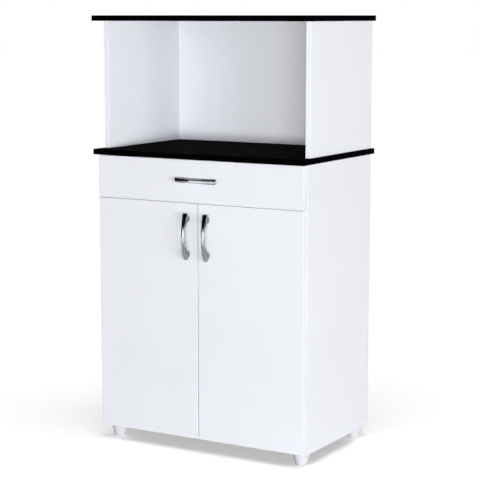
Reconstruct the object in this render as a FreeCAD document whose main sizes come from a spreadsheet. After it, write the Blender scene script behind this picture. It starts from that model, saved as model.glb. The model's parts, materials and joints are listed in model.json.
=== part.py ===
import FreeCAD, Part
import math
import os
import re

import Sketcher
from FreeCAD import Vector

# Microwave cabinet: a base with two doors and a drawer, and an open bay on its worktop.
# X runs to the right, Y to the back and Z up, from the middle of the floor under the cabinet.
# All sizes are in millimetres.

SIZES = {
    # Boards of the carcass
    "cabinet_width": 652,
    "board": 15,
    "bottom_board": 20,
    "edge_bevel": 0.6,
    "base_height": 761,
    "bay_height": 354,
    "bay_setback": 16,
    "worktop_lip": 12.6,
    "worktop_overhang": 9,
    "top_lip": 46,
    "top_overhang": 9,
    "back_sheet": 3,
    "back_margin": 2,
    "rail_depth": 60,
    "rail_overlap": 3.5,
    # Shelf and its pins
    "shelf_rise": 300,
    "shelf_setback": 20,
    "shelf_slack": 1,
    "shelf_seat": 0.1,
    "pin_radius": 2.5,
    "pin_hole_play": 0.05,
    "pin_hole_depth": 9,
    "pin_reach": 8,
    "pin_row_inset": 37,
    "pin_row_step": 64,
    # Feet
    "foot_height": 35,
    "foot_top_radius": 24.5,
    "foot_bottom_radius": 16.5,
    "foot_rim": 3,
    "foot_tread": 1.5,
    "foot_inset": 30,
    "foot_setback": 32,
    "foot_web": 6,
    "foot_well_radius": 6,
    "foot_screw_radius": 2.5,
    "foot_screw_head_radius": 4.5,
    "foot_screw_head": 3,
    "foot_screw_bite": 11,
    # Doors and drawer front
    "front_board": 15,
    "door_gap": 2.4,
    "reveal": 1,
    "door_rise": 11,
    "seam_gap": 3,
    "drawer_seam": 1,
    "front_top_gap": 2.5,
    "drawer_front_height": 117,
    "bumper_radius": 4,
    "bumper_gap": 0.3,
    "bumper_inset": 20,
    # Bow handles
    "handle_length": 128,
    "handle_pitch": 96,
    "handle_reach": 28,
    "handle_end_reach": 15,
    "handle_thickness": 6,
    "handle_end_thickness": 4,
    "handle_waist": 9.5,
    "handle_end_width": 15,
    "handle_crown": 1.6,
    "handle_rounding": 1,
    "handle_post_radius": 5.4,
    "handle_foot_radius": 6.9,
    "handle_web": 7,
    "handle_sweep": 15,
    "handle_web_sink": 0.4,
    "handle_edge": 30,
    "handle_drop": 90,
    "drawer_handle_rise": 3.5,
    "handle_screw_radius": 2,
    "handle_screw_bite": 9,
    "handle_screw_head_radius": 4,
    "handle_screw_head": 2.4,
    # Board screws, cams and dowels
    "screw_play": 0.05,
    "board_screw_radius": 2.5,
    "board_screw_length": 50,
    "board_screw_head_radius": 5,
    "board_screw_head": 3,
    "board_screw_inset": 100,
    "cam_radius": 7.5,
    "cam_depth": 12.5,
    "cam_set": 24,
    "cam_inset": 60,
    "cam_slot_radius": 3.8,
    "cam_bolt_radius": 3,
    "cam_bolt_end": 3,
    "cam_bolt_bite": 10,
    "dowel_radius": 4,
    "dowel_bite": 10,
    "dowel_reach": 20,
    "dowel_play": 0.1,
    "dowel_shift": 60,
    "rail_dowel_inset": 15,
    # Drawer box
    "drawer_board": 12,
    "drawer_depth": 350,
    "drawer_back_gap": 33.4,
    "drawer_box_height": 85,
    "drawer_sheet": 3,
    "groove_rise": 9,
    "groove_depth": 6,
    "groove_play": 0.2,
    "drawer_cam_radius": 6,
    "drawer_cam_depth": 9,
    "drawer_cam_set": 24,
    "drawer_bolt_radius": 2.5,
    "drawer_screw_radius": 2,
    "drawer_screw_length": 38,
    "drawer_screw_inset": 22,
    "drawer_screw_pitch": 22,
    # Roller runners
    "runner_space": 12.5,
    "runner_lift": 4,
    "runner_steel": 1.2,
    "runner_width": 10,
    "runner_height": 20,
    "runner_setback": 2,
    "drawer_lift": 2,
    "drawer_flange": 10,
    "ledge_inset": 2.2,
    "roller_gap": 0.3,
    "roller_width": 6,
    "roller_inset": 2.5,
    "front_roller_radius": 9.2,
    "front_roller_rise": 12,
    "roller_setback": 13,
    "axle_radius": 2.5,
    "axle_play": 0.06,
    "runner_screw_radius": 1.7,
    "runner_screw_head_radius": 3.2,
    "runner_screw_head": 0.9,
    "runner_screw_bite": 11,
    "drawer_runner_screw_bite": 9,
    "runner_screw_front": 60,
    "runner_screw_pitch": 224,
    # Concealed hinges, in plan from the outer back corner of the door:
    # the inward distance runs across the door, the forward one towards its front
    "hinge_inset": 90,
    "cup_radius": 17.5,
    "cup_play": 0.1,
    "cup_depth": 11,
    "cup_wall": 1,
    "cup_edge": 3,
    "cup_flange": 1,
    "cup_flange_width": 18,
    "cup_flange_height": 58,
    "cup_screw_radius": 1.75,
    "cup_screw_head_radius": 3.2,
    "cup_screw_head": 1.5,
    "cup_screw_bite": 10,
    "cup_screw_pitch": 48,
    "link_root_inward": 38,
    "link_root_behind": 4,
    "link_tip_inward": 9.11,
    "link_tip_forward": 1,
    "link_thickness": 1.9,
    "link_tip_radius": 1.6,
    "link_eye_radius": 2.8,
    "link_height": 8,
    "link_side_play": 0.3,
    "hinge_pin_radius": 1.5,
    "hinge_pin_play": 0.06,
    "arm_steel": 1.4,
    "arm_nose_gap": 1.4,
    "arm_nose_width": 3.2,
    "arm_nose_length": 12,
    "arm_slope_length": 18,
    "arm_length": 64,
    "arm_rise": 15,
    "arm_cheek": 8,
    "plate_steel": 2.5,
    "plate_length": 44,
    "plate_width": 14,
    "plate_wing": 14,
    "plate_wing_height": 50,
    "plate_set": 37,
    "plate_screw_pitch": 32,
    "plate_screw_radius": 2,
    "plate_screw_head_radius": 3.8,
    "plate_screw_head": 1.8,
    "plate_screw_bite": 11,
    "riser_length": 24,
    "arm_screw_bite": 8,
}

# Places that several pieces share, worked out from the sizes
PLACES = {
    "half": "cabinet_width / 2",
    "inside": "half - board",
    "edge_middle": "half - board / 2",
    "side_depth": "drawer_depth + drawer_back_gap - door_gap",
    "bay_depth": "side_depth - bay_setback",
    "worktop_depth": "back_sheet + side_depth + door_gap + front_board + worktop_lip",
    "top_depth": "back_sheet + bay_depth + top_lip",
    "runner_length": "drawer_depth - runner_setback",
    "back": "(side_depth + back_sheet + door_gap + front_board + handle_reach) / 2",
    "carcass_back": "back - back_sheet",
    "carcass_front": "carcass_back - side_depth",
    "bay_front": "carcass_back - bay_depth",
    "door_back": "carcass_front - door_gap",
    "front_face": "door_back - front_board",
    "side_low": "foot_height + bottom_board",
    "worktop_low": "side_low + base_height",
    "bay_low": "worktop_low + board",
    "top_low": "bay_low + bay_height",
    "drawer_low": "worktop_low - front_top_gap - drawer_front_height",
    "drawer_handle_middle": "drawer_low + drawer_front_height / 2 + drawer_handle_rise",
    "door_top": "drawer_low - drawer_seam",
    "door_low": "foot_height + door_rise",
    "door_width": "half - reveal - seam_gap / 2",
    "door_handle_middle": "door_top - handle_drop",
    "door_handle_across": "seam_gap / 2 + handle_edge",
    "rail_low": "drawer_low + rail_overlap - board",
    "shelf_low": "side_low + shelf_rise",
    "pin_height": "shelf_low - shelf_seat - pin_radius",
    "joint_middle": "(carcass_front + carcass_back) / 2",
    "base_cam_height": "worktop_low - cam_set",
    "bay_cam_height": "top_low - cam_set",
    "drawer_half": "inside - runner_space",
    "drawer_inside": "drawer_half - drawer_board",
    "runner_low": "rail_low + board + runner_lift",
    "drawer_box_low": "runner_low + drawer_lift",
    "drawer_box_top": "drawer_box_low + drawer_box_height",
    "drawer_box_back": "door_back + drawer_depth",
    "drawer_screw_top": "drawer_box_top - drawer_screw_inset",
    "groove_low": "drawer_box_low + groove_rise",
    "sheet_half": "drawer_inside + groove_depth - groove_play",
    "drawer_cam_height": "drawer_box_low + drawer_box_height / 2",
    "runner_front": "carcass_front + runner_setback",
    "drawer_runner_front": "door_back + runner_setback",
    "front_axle_y": "runner_front + roller_setback",
    "front_axle_z": "runner_low + front_roller_rise",
    "rear_axle_y": "drawer_runner_front + runner_length - roller_setback",
    "rear_axle_z": "runner_low + runner_height / 2",
    "rear_roller_radius": "runner_height / 2 - runner_steel - roller_gap",
    "ledge_low": "front_axle_z + front_roller_radius + roller_gap",
    "drawer_screw_line": "groove_low + drawer_sheet + groove_play + runner_screw_head_radius",
    "cup_inward": "cup_edge + cup_radius",
    "plate_inward": "board - reveal",
    "arm_inward": "plate_inward + arm_rise",
    "arm_nose_inward": "link_root_inward + link_eye_radius + link_side_play + arm_steel",
    "plate_line": "door_gap + plate_set",
    "link_half": "link_height / 2",
    "cheek_half": "link_half + link_side_play + arm_steel",
}

LEFT = -1
RIGHT = 1
SIDE_NAMES = {LEFT: "left", RIGHT: "right"}

# For each axis: the origin plane across it, and the two axes that a sketch there is drawn in
PLANE_ACROSS = {"x": "YZ_Plane", "y": "XZ_Plane", "z": "XY_Plane"}
DRAWN_IN = {"x": "yz", "y": "xz", "z": "xy"}
# The one axis whose plane faces towards minus
TURNED_AXIS = "y"
# The numbers that a sketch gives to the points of a line, an arc or a circle
START, END, CENTRE = range(1, 4)
# Size and half angle of the rough shapes that the formulas then pull into place
DRAFT_RADIUS = 10.0
DRAFT_ANGLE = 0.5

doc = FreeCAD.newDocument("MicrowaveCabinet")
sheet = doc.addObject("Spreadsheet::Sheet", "Sizes")
for row, (alias, size) in enumerate(SIZES.items(), start=1):
    sheet.set(f"A{row}", alias)
    sheet.set(f"B{row}", str(size))
    sheet.setAlias(f"B{row}", alias)
doc.recompute()

subparts = []
corner_of = {}


def formula(text):
    """Turn a formula in plain names into one that reads the sheet's cells."""
    def cell(match):
        name = match.group(0)
        if name in PLACES:
            return "(" + formula(PLACES[name]) + ")"
        return "Sizes." + name
    return re.sub(r"[a-z][a-z_]*(?![a-z_(])", cell, text)


def bind(thing, prop, text):
    """Tie a property to a formula of the sheet's sizes."""
    thing.setExpression(prop, formula(text))


def mirrored(side, text):
    """The formula on the right side, or its mirror image on the left."""
    return f"{side} * ({text})"


def span(side, near, far, face="inside"):
    """Low end and length along X of a stretch that runs inwards from a side's face."""
    low = f"{face} - ({far})" if side == RIGHT else f"-({face}) + ({near})"
    return low, f"({far}) - ({near})"


def new_body(label, x, y, z):
    """Start a sub-part whose own origin is at x, y, z."""
    body = doc.addObject("PartDesign::Body", label)
    body.Label = label
    for axis, text in zip("xyz", (x, y, z)):
        bind(body, f"Placement.Base.{axis}", text)
    corner_of[body.Name] = {"x": x, "y": y, "z": z}
    subparts.append(body)
    return body


def sketch_across(body, axis, place):
    """Start a sketch across an axis, at a place along it."""
    role = PLANE_ACROSS[axis]
    plane = [origin for origin in body.Origin.OriginFeatures if origin.Role == role][0]
    sketch = body.newObject("Sketcher::SketchObject", "Sketch")
    sketch.AttachmentSupport = [(plane, "")]
    sketch.MapMode = "FlatFace"
    ahead = f"({place}) - ({corner_of[body.Name][axis]})"
    bind(sketch, "AttachmentOffset.Base.z", f"-({ahead})" if axis == TURNED_AXIS else ahead)
    return sketch


def local_pair(body, axis, pair):
    """A pair of formulas, moved from the cabinet's frame to the body's own."""
    corner = corner_of[body.Name]
    return [f"({text}) - ({corner[drawn]})" for text, drawn in zip(pair, DRAWN_IN[axis])]


def pin_point(sketch, geometry, point, pair):
    """Hold a point of a sketch at a pair of formulas."""
    draft = sketch.getPoint(geometry, point)
    for kind, place, text in (("DistanceX", draft.x, pair[0]), ("DistanceY", draft.y, pair[1])):
        index = sketch.addConstraint(Sketcher.Constraint(kind, -1, 1, geometry, point, place))
        bind(sketch, f"Constraints[{index}]", text)


def draw_outline(sketch, corners):
    """Draw a closed line through the corners."""
    count = len(corners)
    turns = [2 * math.pi * index / count for index in range(count)]
    drafts = [Vector(DRAFT_RADIUS * math.cos(turn), DRAFT_RADIUS * math.sin(turn), 0) for turn in turns]
    first = sketch.GeometryCount
    for index in range(count):
        line = Part.LineSegment(drafts[index], drafts[(index + 1) % count])
        sketch.addGeometry(line, False)
    for index, pair in enumerate(corners):
        following = first + (index + 1) % count
        sketch.addConstraint(Sketcher.Constraint("Coincident", first + index, END, following, START))
        pin_point(sketch, first + index, START, pair)


def draw_round(sketch, centre, radius):
    """Draw a circle."""
    circle = Part.Circle(Vector(0, 0, 0), Vector(0, 0, 1), DRAFT_RADIUS)
    geometry = sketch.addGeometry(circle, False)
    pin_point(sketch, geometry, CENTRE, centre)
    index = sketch.addConstraint(Sketcher.Constraint("Radius", geometry, DRAFT_RADIUS))
    bind(sketch, f"Constraints[{index}]", radius)


def draw(body, axis, place, outlines, rounds):
    """Sketch outlines and rounds, given in the cabinet's frame, across an axis."""
    sketch = sketch_across(body, axis, place)
    for corners in outlines:
        draw_outline(sketch, [local_pair(body, axis, pair) for pair in corners])
    for centre, radius in rounds:
        draw_round(sketch, local_pair(body, axis, centre), radius)
    return sketch


def pad_sketch(body, sketch, axis, length):
    """Pad a sketch along its axis, towards plus."""
    pad = body.newObject("PartDesign::Pad", "Pad")
    pad.Profile = sketch
    pad.Reversed = axis == TURNED_AXIS
    bind(pad, "Length", length)
    body.Tip = pad
    return pad


def cut_sketch(body, sketch, axis, length):
    """Cut a sketch along its axis, towards plus."""
    pocket = body.newObject("PartDesign::Pocket", "Pocket")
    pocket.Profile = sketch
    pocket.Reversed = axis != TURNED_AXIS
    bind(pocket, "Length", length)
    body.Tip = pocket
    return pocket


def add(body, axis, start, length, outlines=(), rounds=()):
    """Pad outlines and rounds from a place along an axis, towards plus."""
    return pad_sketch(body, draw(body, axis, start, outlines, rounds), axis, length)


def cut(body, axis, start, length, outlines=(), rounds=()):
    """Cut outlines and rounds from a place along an axis, towards plus."""
    return cut_sketch(body, draw(body, axis, start, outlines, rounds), axis, length)


def revolve(body, outline):
    """Turn an outline across Y about the upright axis of the body's own origin."""
    revolution = body.newObject("PartDesign::Revolution", "Revolution")
    sketch = draw(body, "y", corner_of[body.Name]["y"], [outline], [])
    revolution.Profile = sketch
    revolution.ReferenceAxis = (sketch, ["V_Axis"])
    revolution.Angle = 360
    body.Tip = revolution


def rectangle(low, high):
    """The corners of a rectangle between two opposite ones."""
    return [low, (high[0], low[1]), high, (low[0], high[1])]


def new_board(label, corner, size):
    """A board with bevelled edges, from its low corner and its three sizes."""
    x, y, z = corner
    wide, deep, tall = size
    body = new_body(label, x, y, z)
    pad = add(body, "z", z, tall, [rectangle((x, y), (f"{x} + {wide}", f"{y} + {deep}"))])
    bevel = body.newObject("PartDesign::Chamfer", "Bevel")
    bevel.Base = (pad, [""])
    bevel.UseAllEdges = True
    bind(bevel, "Size", "edge_bevel")
    body.Tip = bevel
    return body


def new_sheet(label, corner, size):
    """A thin board with plain edges."""
    x, y, z = corner
    wide, deep, tall = size
    body = new_body(label, x, y, z)
    add(body, "z", z, tall, [rectangle((x, y), (f"{x} + {wide}", f"{y} + {deep}"))])
    return body


def rounds_at(centres, radius):
    """Circles of one radius at several centres."""
    return [(centre, radius) for centre in centres]


# Where the fasteners of the carcass stand
BOTH = (LEFT, RIGHT)
FOOT_CENTRES = {
    f"{name}_{SIDE_NAMES[side]}_foot": (mirrored(side, "half - foot_inset"), y)
    for name, y in (("front", "carcass_front + foot_setback"), ("back", "carcass_back - foot_setback"))
    for side in BOTH
}
BASE_SCREW_LINES = ("carcass_front + board_screw_inset", "carcass_back - board_screw_inset")
BAY_SCREW_LINES = ("bay_front + board_screw_inset", "carcass_back - board_screw_inset")
BASE_CAM_LINES = ("carcass_front + cam_inset", "carcass_back - cam_inset")
BAY_CAM_LINES = ("bay_front + cam_inset", "carcass_back - cam_inset")
BASE_DOWEL_LINE = "joint_middle"
BAY_DOWEL_LINE = "joint_middle + dowel_shift"
RAIL_DOWEL_LINES = ("carcass_front + rail_dowel_inset", "carcass_front + rail_depth - rail_dowel_inset")
PIN_LINES = ("carcass_front + pin_row_inset + shelf_setback", "carcass_back - pin_row_inset")
PIN_STEPS = (-1, 0, 1)
ENDS = (-1, 1)
HINGE_HEIGHTS = ("door_low + hinge_inset", "door_top - hinge_inset")
RAIL_DOWELS = [(line, "rail_low + board / 2") for line in RAIL_DOWEL_LINES]
PLATE_SCREWS = [
    ("door_back + plate_line", f"{height} + {end} * plate_screw_pitch / 2")
    for height in HINGE_HEIGHTS
    for end in ENDS
]
ARM_SCREWS = [("door_back + plate_line + riser_length / 4", height) for height in HINGE_HEIGHTS]
DRAWER_BOLTS = [(mirrored(side, "drawer_half - drawer_board / 2"), "drawer_cam_height") for side in BOTH]
DRAWER_CAMS = [("door_back + drawer_cam_set", "drawer_cam_height")]
RUNNER_SCREWS = [
    (f"runner_front + runner_screw_front + {step} * runner_screw_pitch", "rear_axle_z") for step in (0, 1)
]
DRAWER_RUNNER_SCREWS = [
    (f"drawer_runner_front + runner_screw_front + {step} * runner_screw_pitch", "drawer_screw_line")
    for step in (0, 1)
]
DRAWER_BACK_SCREWS = [
    ("drawer_box_back - drawer_board / 2", f"drawer_screw_top - {step} * drawer_screw_pitch")
    for step in (0, 1)
]


def over_edges(lines):
    """Centres over the middle of both side panels' edges, at each of the lines."""
    return [(mirrored(side, "edge_middle"), line) for side in BOTH for line in lines]


def drill_upright(body, centres, radius, low, depth):
    """Bore upright holes from a low end."""
    cut(body, "z", low, depth, rounds=rounds_at(centres, radius))


def make_bottom_panel():
    corner = ("-half", "carcass_front", "foot_height")
    body = new_board("bottom_panel", corner, ("cabinet_width", "side_depth", "bottom_board"))
    screws = over_edges(BASE_SCREW_LINES)
    drill_upright(body, screws, "board_screw_radius + screw_play", "foot_height", "bottom_board")
    drill_upright(body, screws, "board_screw_head_radius + screw_play", "foot_height", "board_screw_head")
    feet = list(FOOT_CENTRES.values())
    drill_upright(body, feet, "foot_screw_radius + screw_play", "foot_height", "foot_screw_bite")
    dowels = over_edges([BASE_DOWEL_LINE])
    drill_upright(body, dowels, "dowel_radius + dowel_play", "side_low - dowel_bite", "dowel_bite")


def drill_cams(body, side, lines, height, top):
    """Bore a side panel for its cams and for the bolts that come down to them."""
    low, length = span(side, "-cam_depth", "0")
    cut(body, "x", low, length, rounds=rounds_at([(line, height) for line in lines], "cam_radius"))
    bolts = [(mirrored(side, "edge_middle"), line) for line in lines]
    drill_upright(body, bolts, "cam_slot_radius", height, f"({top}) - ({height})")


def make_base_side(side):
    x = "-half" if side == LEFT else "inside"
    corner = (x, "carcass_front", "side_low")
    body = new_board(f"{SIDE_NAMES[side]}_side_panel", corner, ("board", "side_depth", "base_height"))
    middle = mirrored(side, "edge_middle")
    screws = [(middle, line) for line in BASE_SCREW_LINES]
    depth = "board_screw_length - bottom_board"
    drill_upright(body, screws, "board_screw_radius + screw_play", "side_low", depth)
    dowel = [(middle, BASE_DOWEL_LINE)]
    radius = "dowel_radius + dowel_play"
    drill_upright(body, dowel, radius, "side_low", "dowel_reach")
    drill_upright(body, dowel, radius, "worktop_low - dowel_reach", "dowel_reach")
    drill_cams(body, side, BASE_CAM_LINES, "base_cam_height", "worktop_low")
    pins = [(line, f"pin_height + {step} * pin_row_step") for line in PIN_LINES for step in PIN_STEPS]
    inner_holes = (
        (RAIL_DOWELS, radius, "dowel_bite"),
        (pins, "pin_radius + pin_hole_play", "pin_hole_depth"),
        (PLATE_SCREWS, "plate_screw_radius + screw_play", "plate_screw_bite"),
        (RUNNER_SCREWS, "runner_screw_radius + screw_play", "runner_screw_bite"),
    )
    for centres, hole_radius, depth in inner_holes:
        low, length = span(side, f"-{depth}", "0")
        cut(body, "x", low, length, rounds=rounds_at(centres, hole_radius))


def make_worktop():
    corner = ("-half - worktop_overhang", "back - worktop_depth", "worktop_low")
    wide = "(cabinet_width + 2 * worktop_overhang)"
    body = new_board("worktop", corner, (wide, "worktop_depth", "board"))
    bolts = over_edges(BASE_CAM_LINES)
    drill_upright(body, bolts, "cam_bolt_radius + screw_play", "worktop_low", "cam_bolt_bite")
    screws = over_edges(BAY_SCREW_LINES)
    drill_upright(body, screws, "board_screw_radius + screw_play", "worktop_low", "board")
    drill_upright(body, screws, "board_screw_head_radius + screw_play", "worktop_low", "board_screw_head")
    radius = "dowel_radius + dowel_play"
    drill_upright(body, over_edges([BASE_DOWEL_LINE]), radius, "worktop_low", "dowel_bite")
    drill_upright(body, over_edges([BAY_DOWEL_LINE]), radius, "bay_low - dowel_bite", "dowel_bite")


def make_bay_side(side):
    x = "-half" if side == LEFT else "inside"
    corner = (x, "bay_front", "bay_low")
    body = new_board(f"bay_{SIDE_NAMES[side]}_panel", corner, ("board", "bay_depth", "bay_height"))
    middle = mirrored(side, "edge_middle")
    screws = [(middle, line) for line in BAY_SCREW_LINES]
    depth = "board_screw_length - board"
    drill_upright(body, screws, "board_screw_radius + screw_play", "bay_low", depth)
    dowel = [(middle, BAY_DOWEL_LINE)]
    radius = "dowel_radius + dowel_play"
    drill_upright(body, dowel, radius, "bay_low", "dowel_reach")
    drill_upright(body, dowel, radius, "top_low - dowel_reach", "dowel_reach")
    drill_cams(body, side, BAY_CAM_LINES, "bay_cam_height", "top_low")


def make_top_panel():
    corner = ("-half - top_overhang", "back - top_depth", "top_low")
    wide = "(cabinet_width + 2 * top_overhang)"
    body = new_board("top_panel", corner, (wide, "top_depth", "board"))
    bolts = over_edges(BAY_CAM_LINES)
    drill_upright(body, bolts, "cam_bolt_radius + screw_play", "top_low", "cam_bolt_bite")
    dowels = over_edges([BAY_DOWEL_LINE])
    drill_upright(body, dowels, "dowel_radius + dowel_play", "top_low", "dowel_bite")


def make_back_panels():
    wide = "(cabinet_width - 2 * back_margin)"
    corner = ("-half + back_margin", "carcass_back", "foot_height + back_margin")
    new_sheet("base_back_panel", corner, (wide, "back_sheet", "bottom_board + base_height - back_margin"))
    corner = ("-half + back_margin", "carcass_back", "bay_low")
    new_sheet("bay_back_panel", corner, (wide, "back_sheet", "bay_height"))


def make_divider_rail():
    corner = ("-inside", "carcass_front", "rail_low")
    body = new_board("divider_rail", corner, ("2 * inside", "rail_depth", "board"))
    for side in BOTH:
        low, length = span(side, "0", "dowel_reach")
        cut(body, "x", low, length, rounds=rounds_at(RAIL_DOWELS, "dowel_radius + dowel_play"))


def make_shelf():
    corner = ("-inside + shelf_slack", "carcass_front + shelf_setback", "shelf_low")
    deep = "(side_depth - shelf_setback - shelf_slack)"
    new_board("shelf", corner, ("2 * (inside - shelf_slack)", deep, "board"))
    body = new_body("shelf_pins", "0", "carcass_front", "pin_height")
    pins = rounds_at([(line, "pin_height") for line in PIN_LINES], "pin_radius")
    for side in BOTH:
        low, length = span(side, "-pin_hole_depth", "pin_reach")
        add(body, "x", low, length, rounds=pins)


def make_feet():
    for label, (x, y) in FOOT_CENTRES.items():
        body = new_body(label, x, y, "0")
        bore = f"{x} + foot_screw_radius + screw_play"
        well = f"{x} + foot_well_radius"
        outline = [
            (bore, "foot_height"),
            (f"{x} + foot_top_radius", "foot_height"),
            (f"{x} + foot_top_radius", "foot_height - foot_rim"),
            (f"{x} + foot_bottom_radius", "foot_tread"),
            (f"{x} + foot_bottom_radius - foot_tread", "0"),
            (well, "0"),
            (well, "foot_height - foot_web"),
            (bore, "foot_height - foot_web"),
        ]
        revolve(body, outline)
    screws = new_body("foot_screws", "0", "0", "foot_height")
    centres = list(FOOT_CENTRES.values())
    seat = "foot_height - foot_web"
    length = "foot_web + foot_screw_bite"
    add(screws, "z", seat, length, rounds=rounds_at(centres, "foot_screw_radius"))
    heads = rounds_at(centres, "foot_screw_head_radius")
    add(screws, "z", f"{seat} - foot_screw_head", "foot_screw_head", rounds=heads)


def make_board_screws():
    body = new_body("board_screws", "0", "0", "foot_height")
    joints = (("foot_height", BASE_SCREW_LINES), ("worktop_low", BAY_SCREW_LINES))
    for low, lines in joints:
        centres = over_edges(lines)
        add(body, "z", low, "board_screw_length", rounds=rounds_at(centres, "board_screw_radius"))
        add(body, "z", low, "board_screw_head", rounds=rounds_at(centres, "board_screw_head_radius"))


def make_cams():
    discs = new_body("cam_discs", "0", "0", "base_cam_height")
    joints = (
        (BASE_CAM_LINES, "base_cam_height", "worktop_low"),
        (BAY_CAM_LINES, "bay_cam_height", "top_low"),
    )
    for lines, height, _ in joints:
        rounds = rounds_at([(line, height) for line in lines], "cam_radius - screw_play")
        for side in BOTH:
            low, length = span(side, "-cam_depth", "0")
            add(discs, "x", low, length, rounds=rounds)
    for lines, height, _ in joints:
        slots = rounds_at(over_edges(lines), "cam_slot_radius")
        cut(discs, "z", f"{height} - cam_slot_radius", "cam_slot_radius + cam_radius", rounds=slots)
    bolts = new_body("cam_bolts", "0", "0", "base_cam_height")
    for lines, height, top in joints:
        rounds = rounds_at(over_edges(lines), "cam_bolt_radius")
        length = f"({top}) + cam_bolt_bite - ({height}) + cam_bolt_end"
        add(bolts, "z", f"{height} - cam_bolt_end", length, rounds=rounds)


def make_dowels():
    body = new_body("dowels", "0", "0", "side_low")
    length = "dowel_bite + dowel_reach"
    joints = (
        ("side_low - dowel_bite", BASE_DOWEL_LINE),
        ("worktop_low - dowel_reach", BASE_DOWEL_LINE),
        ("bay_low - dowel_bite", BAY_DOWEL_LINE),
        ("top_low - dowel_reach", BAY_DOWEL_LINE),
    )
    for low, line in joints:
        add(body, "z", low, length, rounds=rounds_at(over_edges([line]), "dowel_radius"))
    for side in BOTH:
        low, length = span(side, "-dowel_bite", "dowel_reach")
        add(body, "x", low, length, rounds=rounds_at(RAIL_DOWELS, "dowel_radius"))


def handle_screw_holes(body, posts):
    """Bore a front board for the screws of its handle."""
    cut(body, "y", "front_face", "front_board", rounds=rounds_at(posts, "handle_screw_radius + screw_play"))


def make_handle_screws(label, posts):
    body = new_body(label, posts[0][0], "door_back", posts[0][1])
    length = "front_board + handle_screw_bite"
    add(body, "y", "front_face - handle_screw_bite", length, rounds=rounds_at(posts, "handle_screw_radius"))
    heads = rounds_at(posts, "handle_screw_head_radius")
    add(body, "y", "door_back", "handle_screw_head", rounds=heads)


def arc_radius(half_chord, rise):
    """The radius of an arc, from half its chord and its rise."""
    return f"((({half_chord}) ^ 2 + ({rise}) ^ 2) / (2 * ({rise})))"


def draw_bow(sketch, towards, top, ends):
    """Draw an arc that bulges towards minus or plus, from its top to two ends that stand alike.

    top is the place of the bulge, ends the place across of both ends, and the ends lie half
    the handle's length up and down. Returns the arc's upper and lower end."""
    half_chord = "(handle_length / 2)"
    radius = arc_radius(half_chord, f"{-towards} * (({ends}) - ({top}))")
    circle = Part.Circle(Vector(-towards * DRAFT_RADIUS, 0, 0), Vector(0, 0, 1), DRAFT_RADIUS)
    facing = 0 if towards > 0 else math.pi
    arc = sketch.addGeometry(Part.ArcOfCircle(circle, facing - DRAFT_ANGLE, facing + DRAFT_ANGLE), False)
    upper, lower = (END, START) if towards > 0 else (START, END)
    pin_point(sketch, arc, upper, (ends, half_chord))
    pin_point(sketch, arc, lower, (ends, f"-{half_chord}"))
    hub = Sketcher.Constraint("DistanceX", -1, 1, arc, CENTRE, -towards * DRAFT_RADIUS)
    index = sketch.addConstraint(hub)
    bind(sketch, f"Constraints[{index}]", f"({top}) - {towards} * {radius}")
    return [(arc, upper), (arc, lower)]


def join_points(sketch, first, second):
    """Draw a line between two points of a sketch."""
    line = sketch.addGeometry(Part.LineSegment(Vector(0, 0, 0), Vector(DRAFT_RADIUS, 0, 0)), False)
    sketch.addConstraint(Sketcher.Constraint("Coincident", line, START, *first))
    sketch.addConstraint(Sketcher.Constraint("Coincident", line, END, *second))


def draw_line_from(sketch, start, pair):
    """Draw a line from a point of a sketch to a pair of formulas. Returns its far end."""
    line = sketch.addGeometry(Part.LineSegment(Vector(0, 0, 0), Vector(DRAFT_RADIUS, 0, 0)), False)
    sketch.addConstraint(Sketcher.Constraint("Coincident", line, START, *start))
    pin_point(sketch, line, END, pair)
    return line, END


def draw_web(sketch, end, post_end):
    """Draw the web between a handle's grip and one of its posts, swept to an arc on its free side.

    post_end is the place across where the post ends inside the grip."""
    post = f"{end} * handle_pitch / 2"
    side = f"{end} * (handle_pitch / 2 - handle_post_radius)"
    root = f"{end} * (handle_pitch / 2 - handle_post_radius - handle_sweep)"
    share = f"(({root}) / (handle_length / 2)) ^ 2"
    drop = "(handle_reach - handle_thickness - handle_end_reach + handle_end_thickness)"
    grip = f"(-handle_reach + handle_thickness - handle_web_sink + {drop} * {share})"
    hub = f"{grip} + handle_sweep"
    circle = Part.Circle(Vector(0, 0, 0), Vector(0, 0, 1), DRAFT_RADIUS)
    turns = (math.pi / 2, math.pi) if end > 0 else (math.pi, 3 * math.pi / 2)
    arc = sketch.addGeometry(Part.ArcOfCircle(circle, *turns), False)
    low, high = (START, END) if end > 0 else (END, START)
    pin_point(sketch, arc, low, (hub, side))
    pin_point(sketch, arc, high, (grip, root))
    index = sketch.addConstraint(Sketcher.Constraint("DistanceX", -1, 1, arc, CENTRE, 0.0))
    bind(sketch, f"Constraints[{index}]", hub)
    foot = draw_line_from(sketch, (arc, low), (hub, post))
    head = draw_line_from(sketch, (arc, high), (post_end, post))
    join_points(sketch, foot, head)


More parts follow.
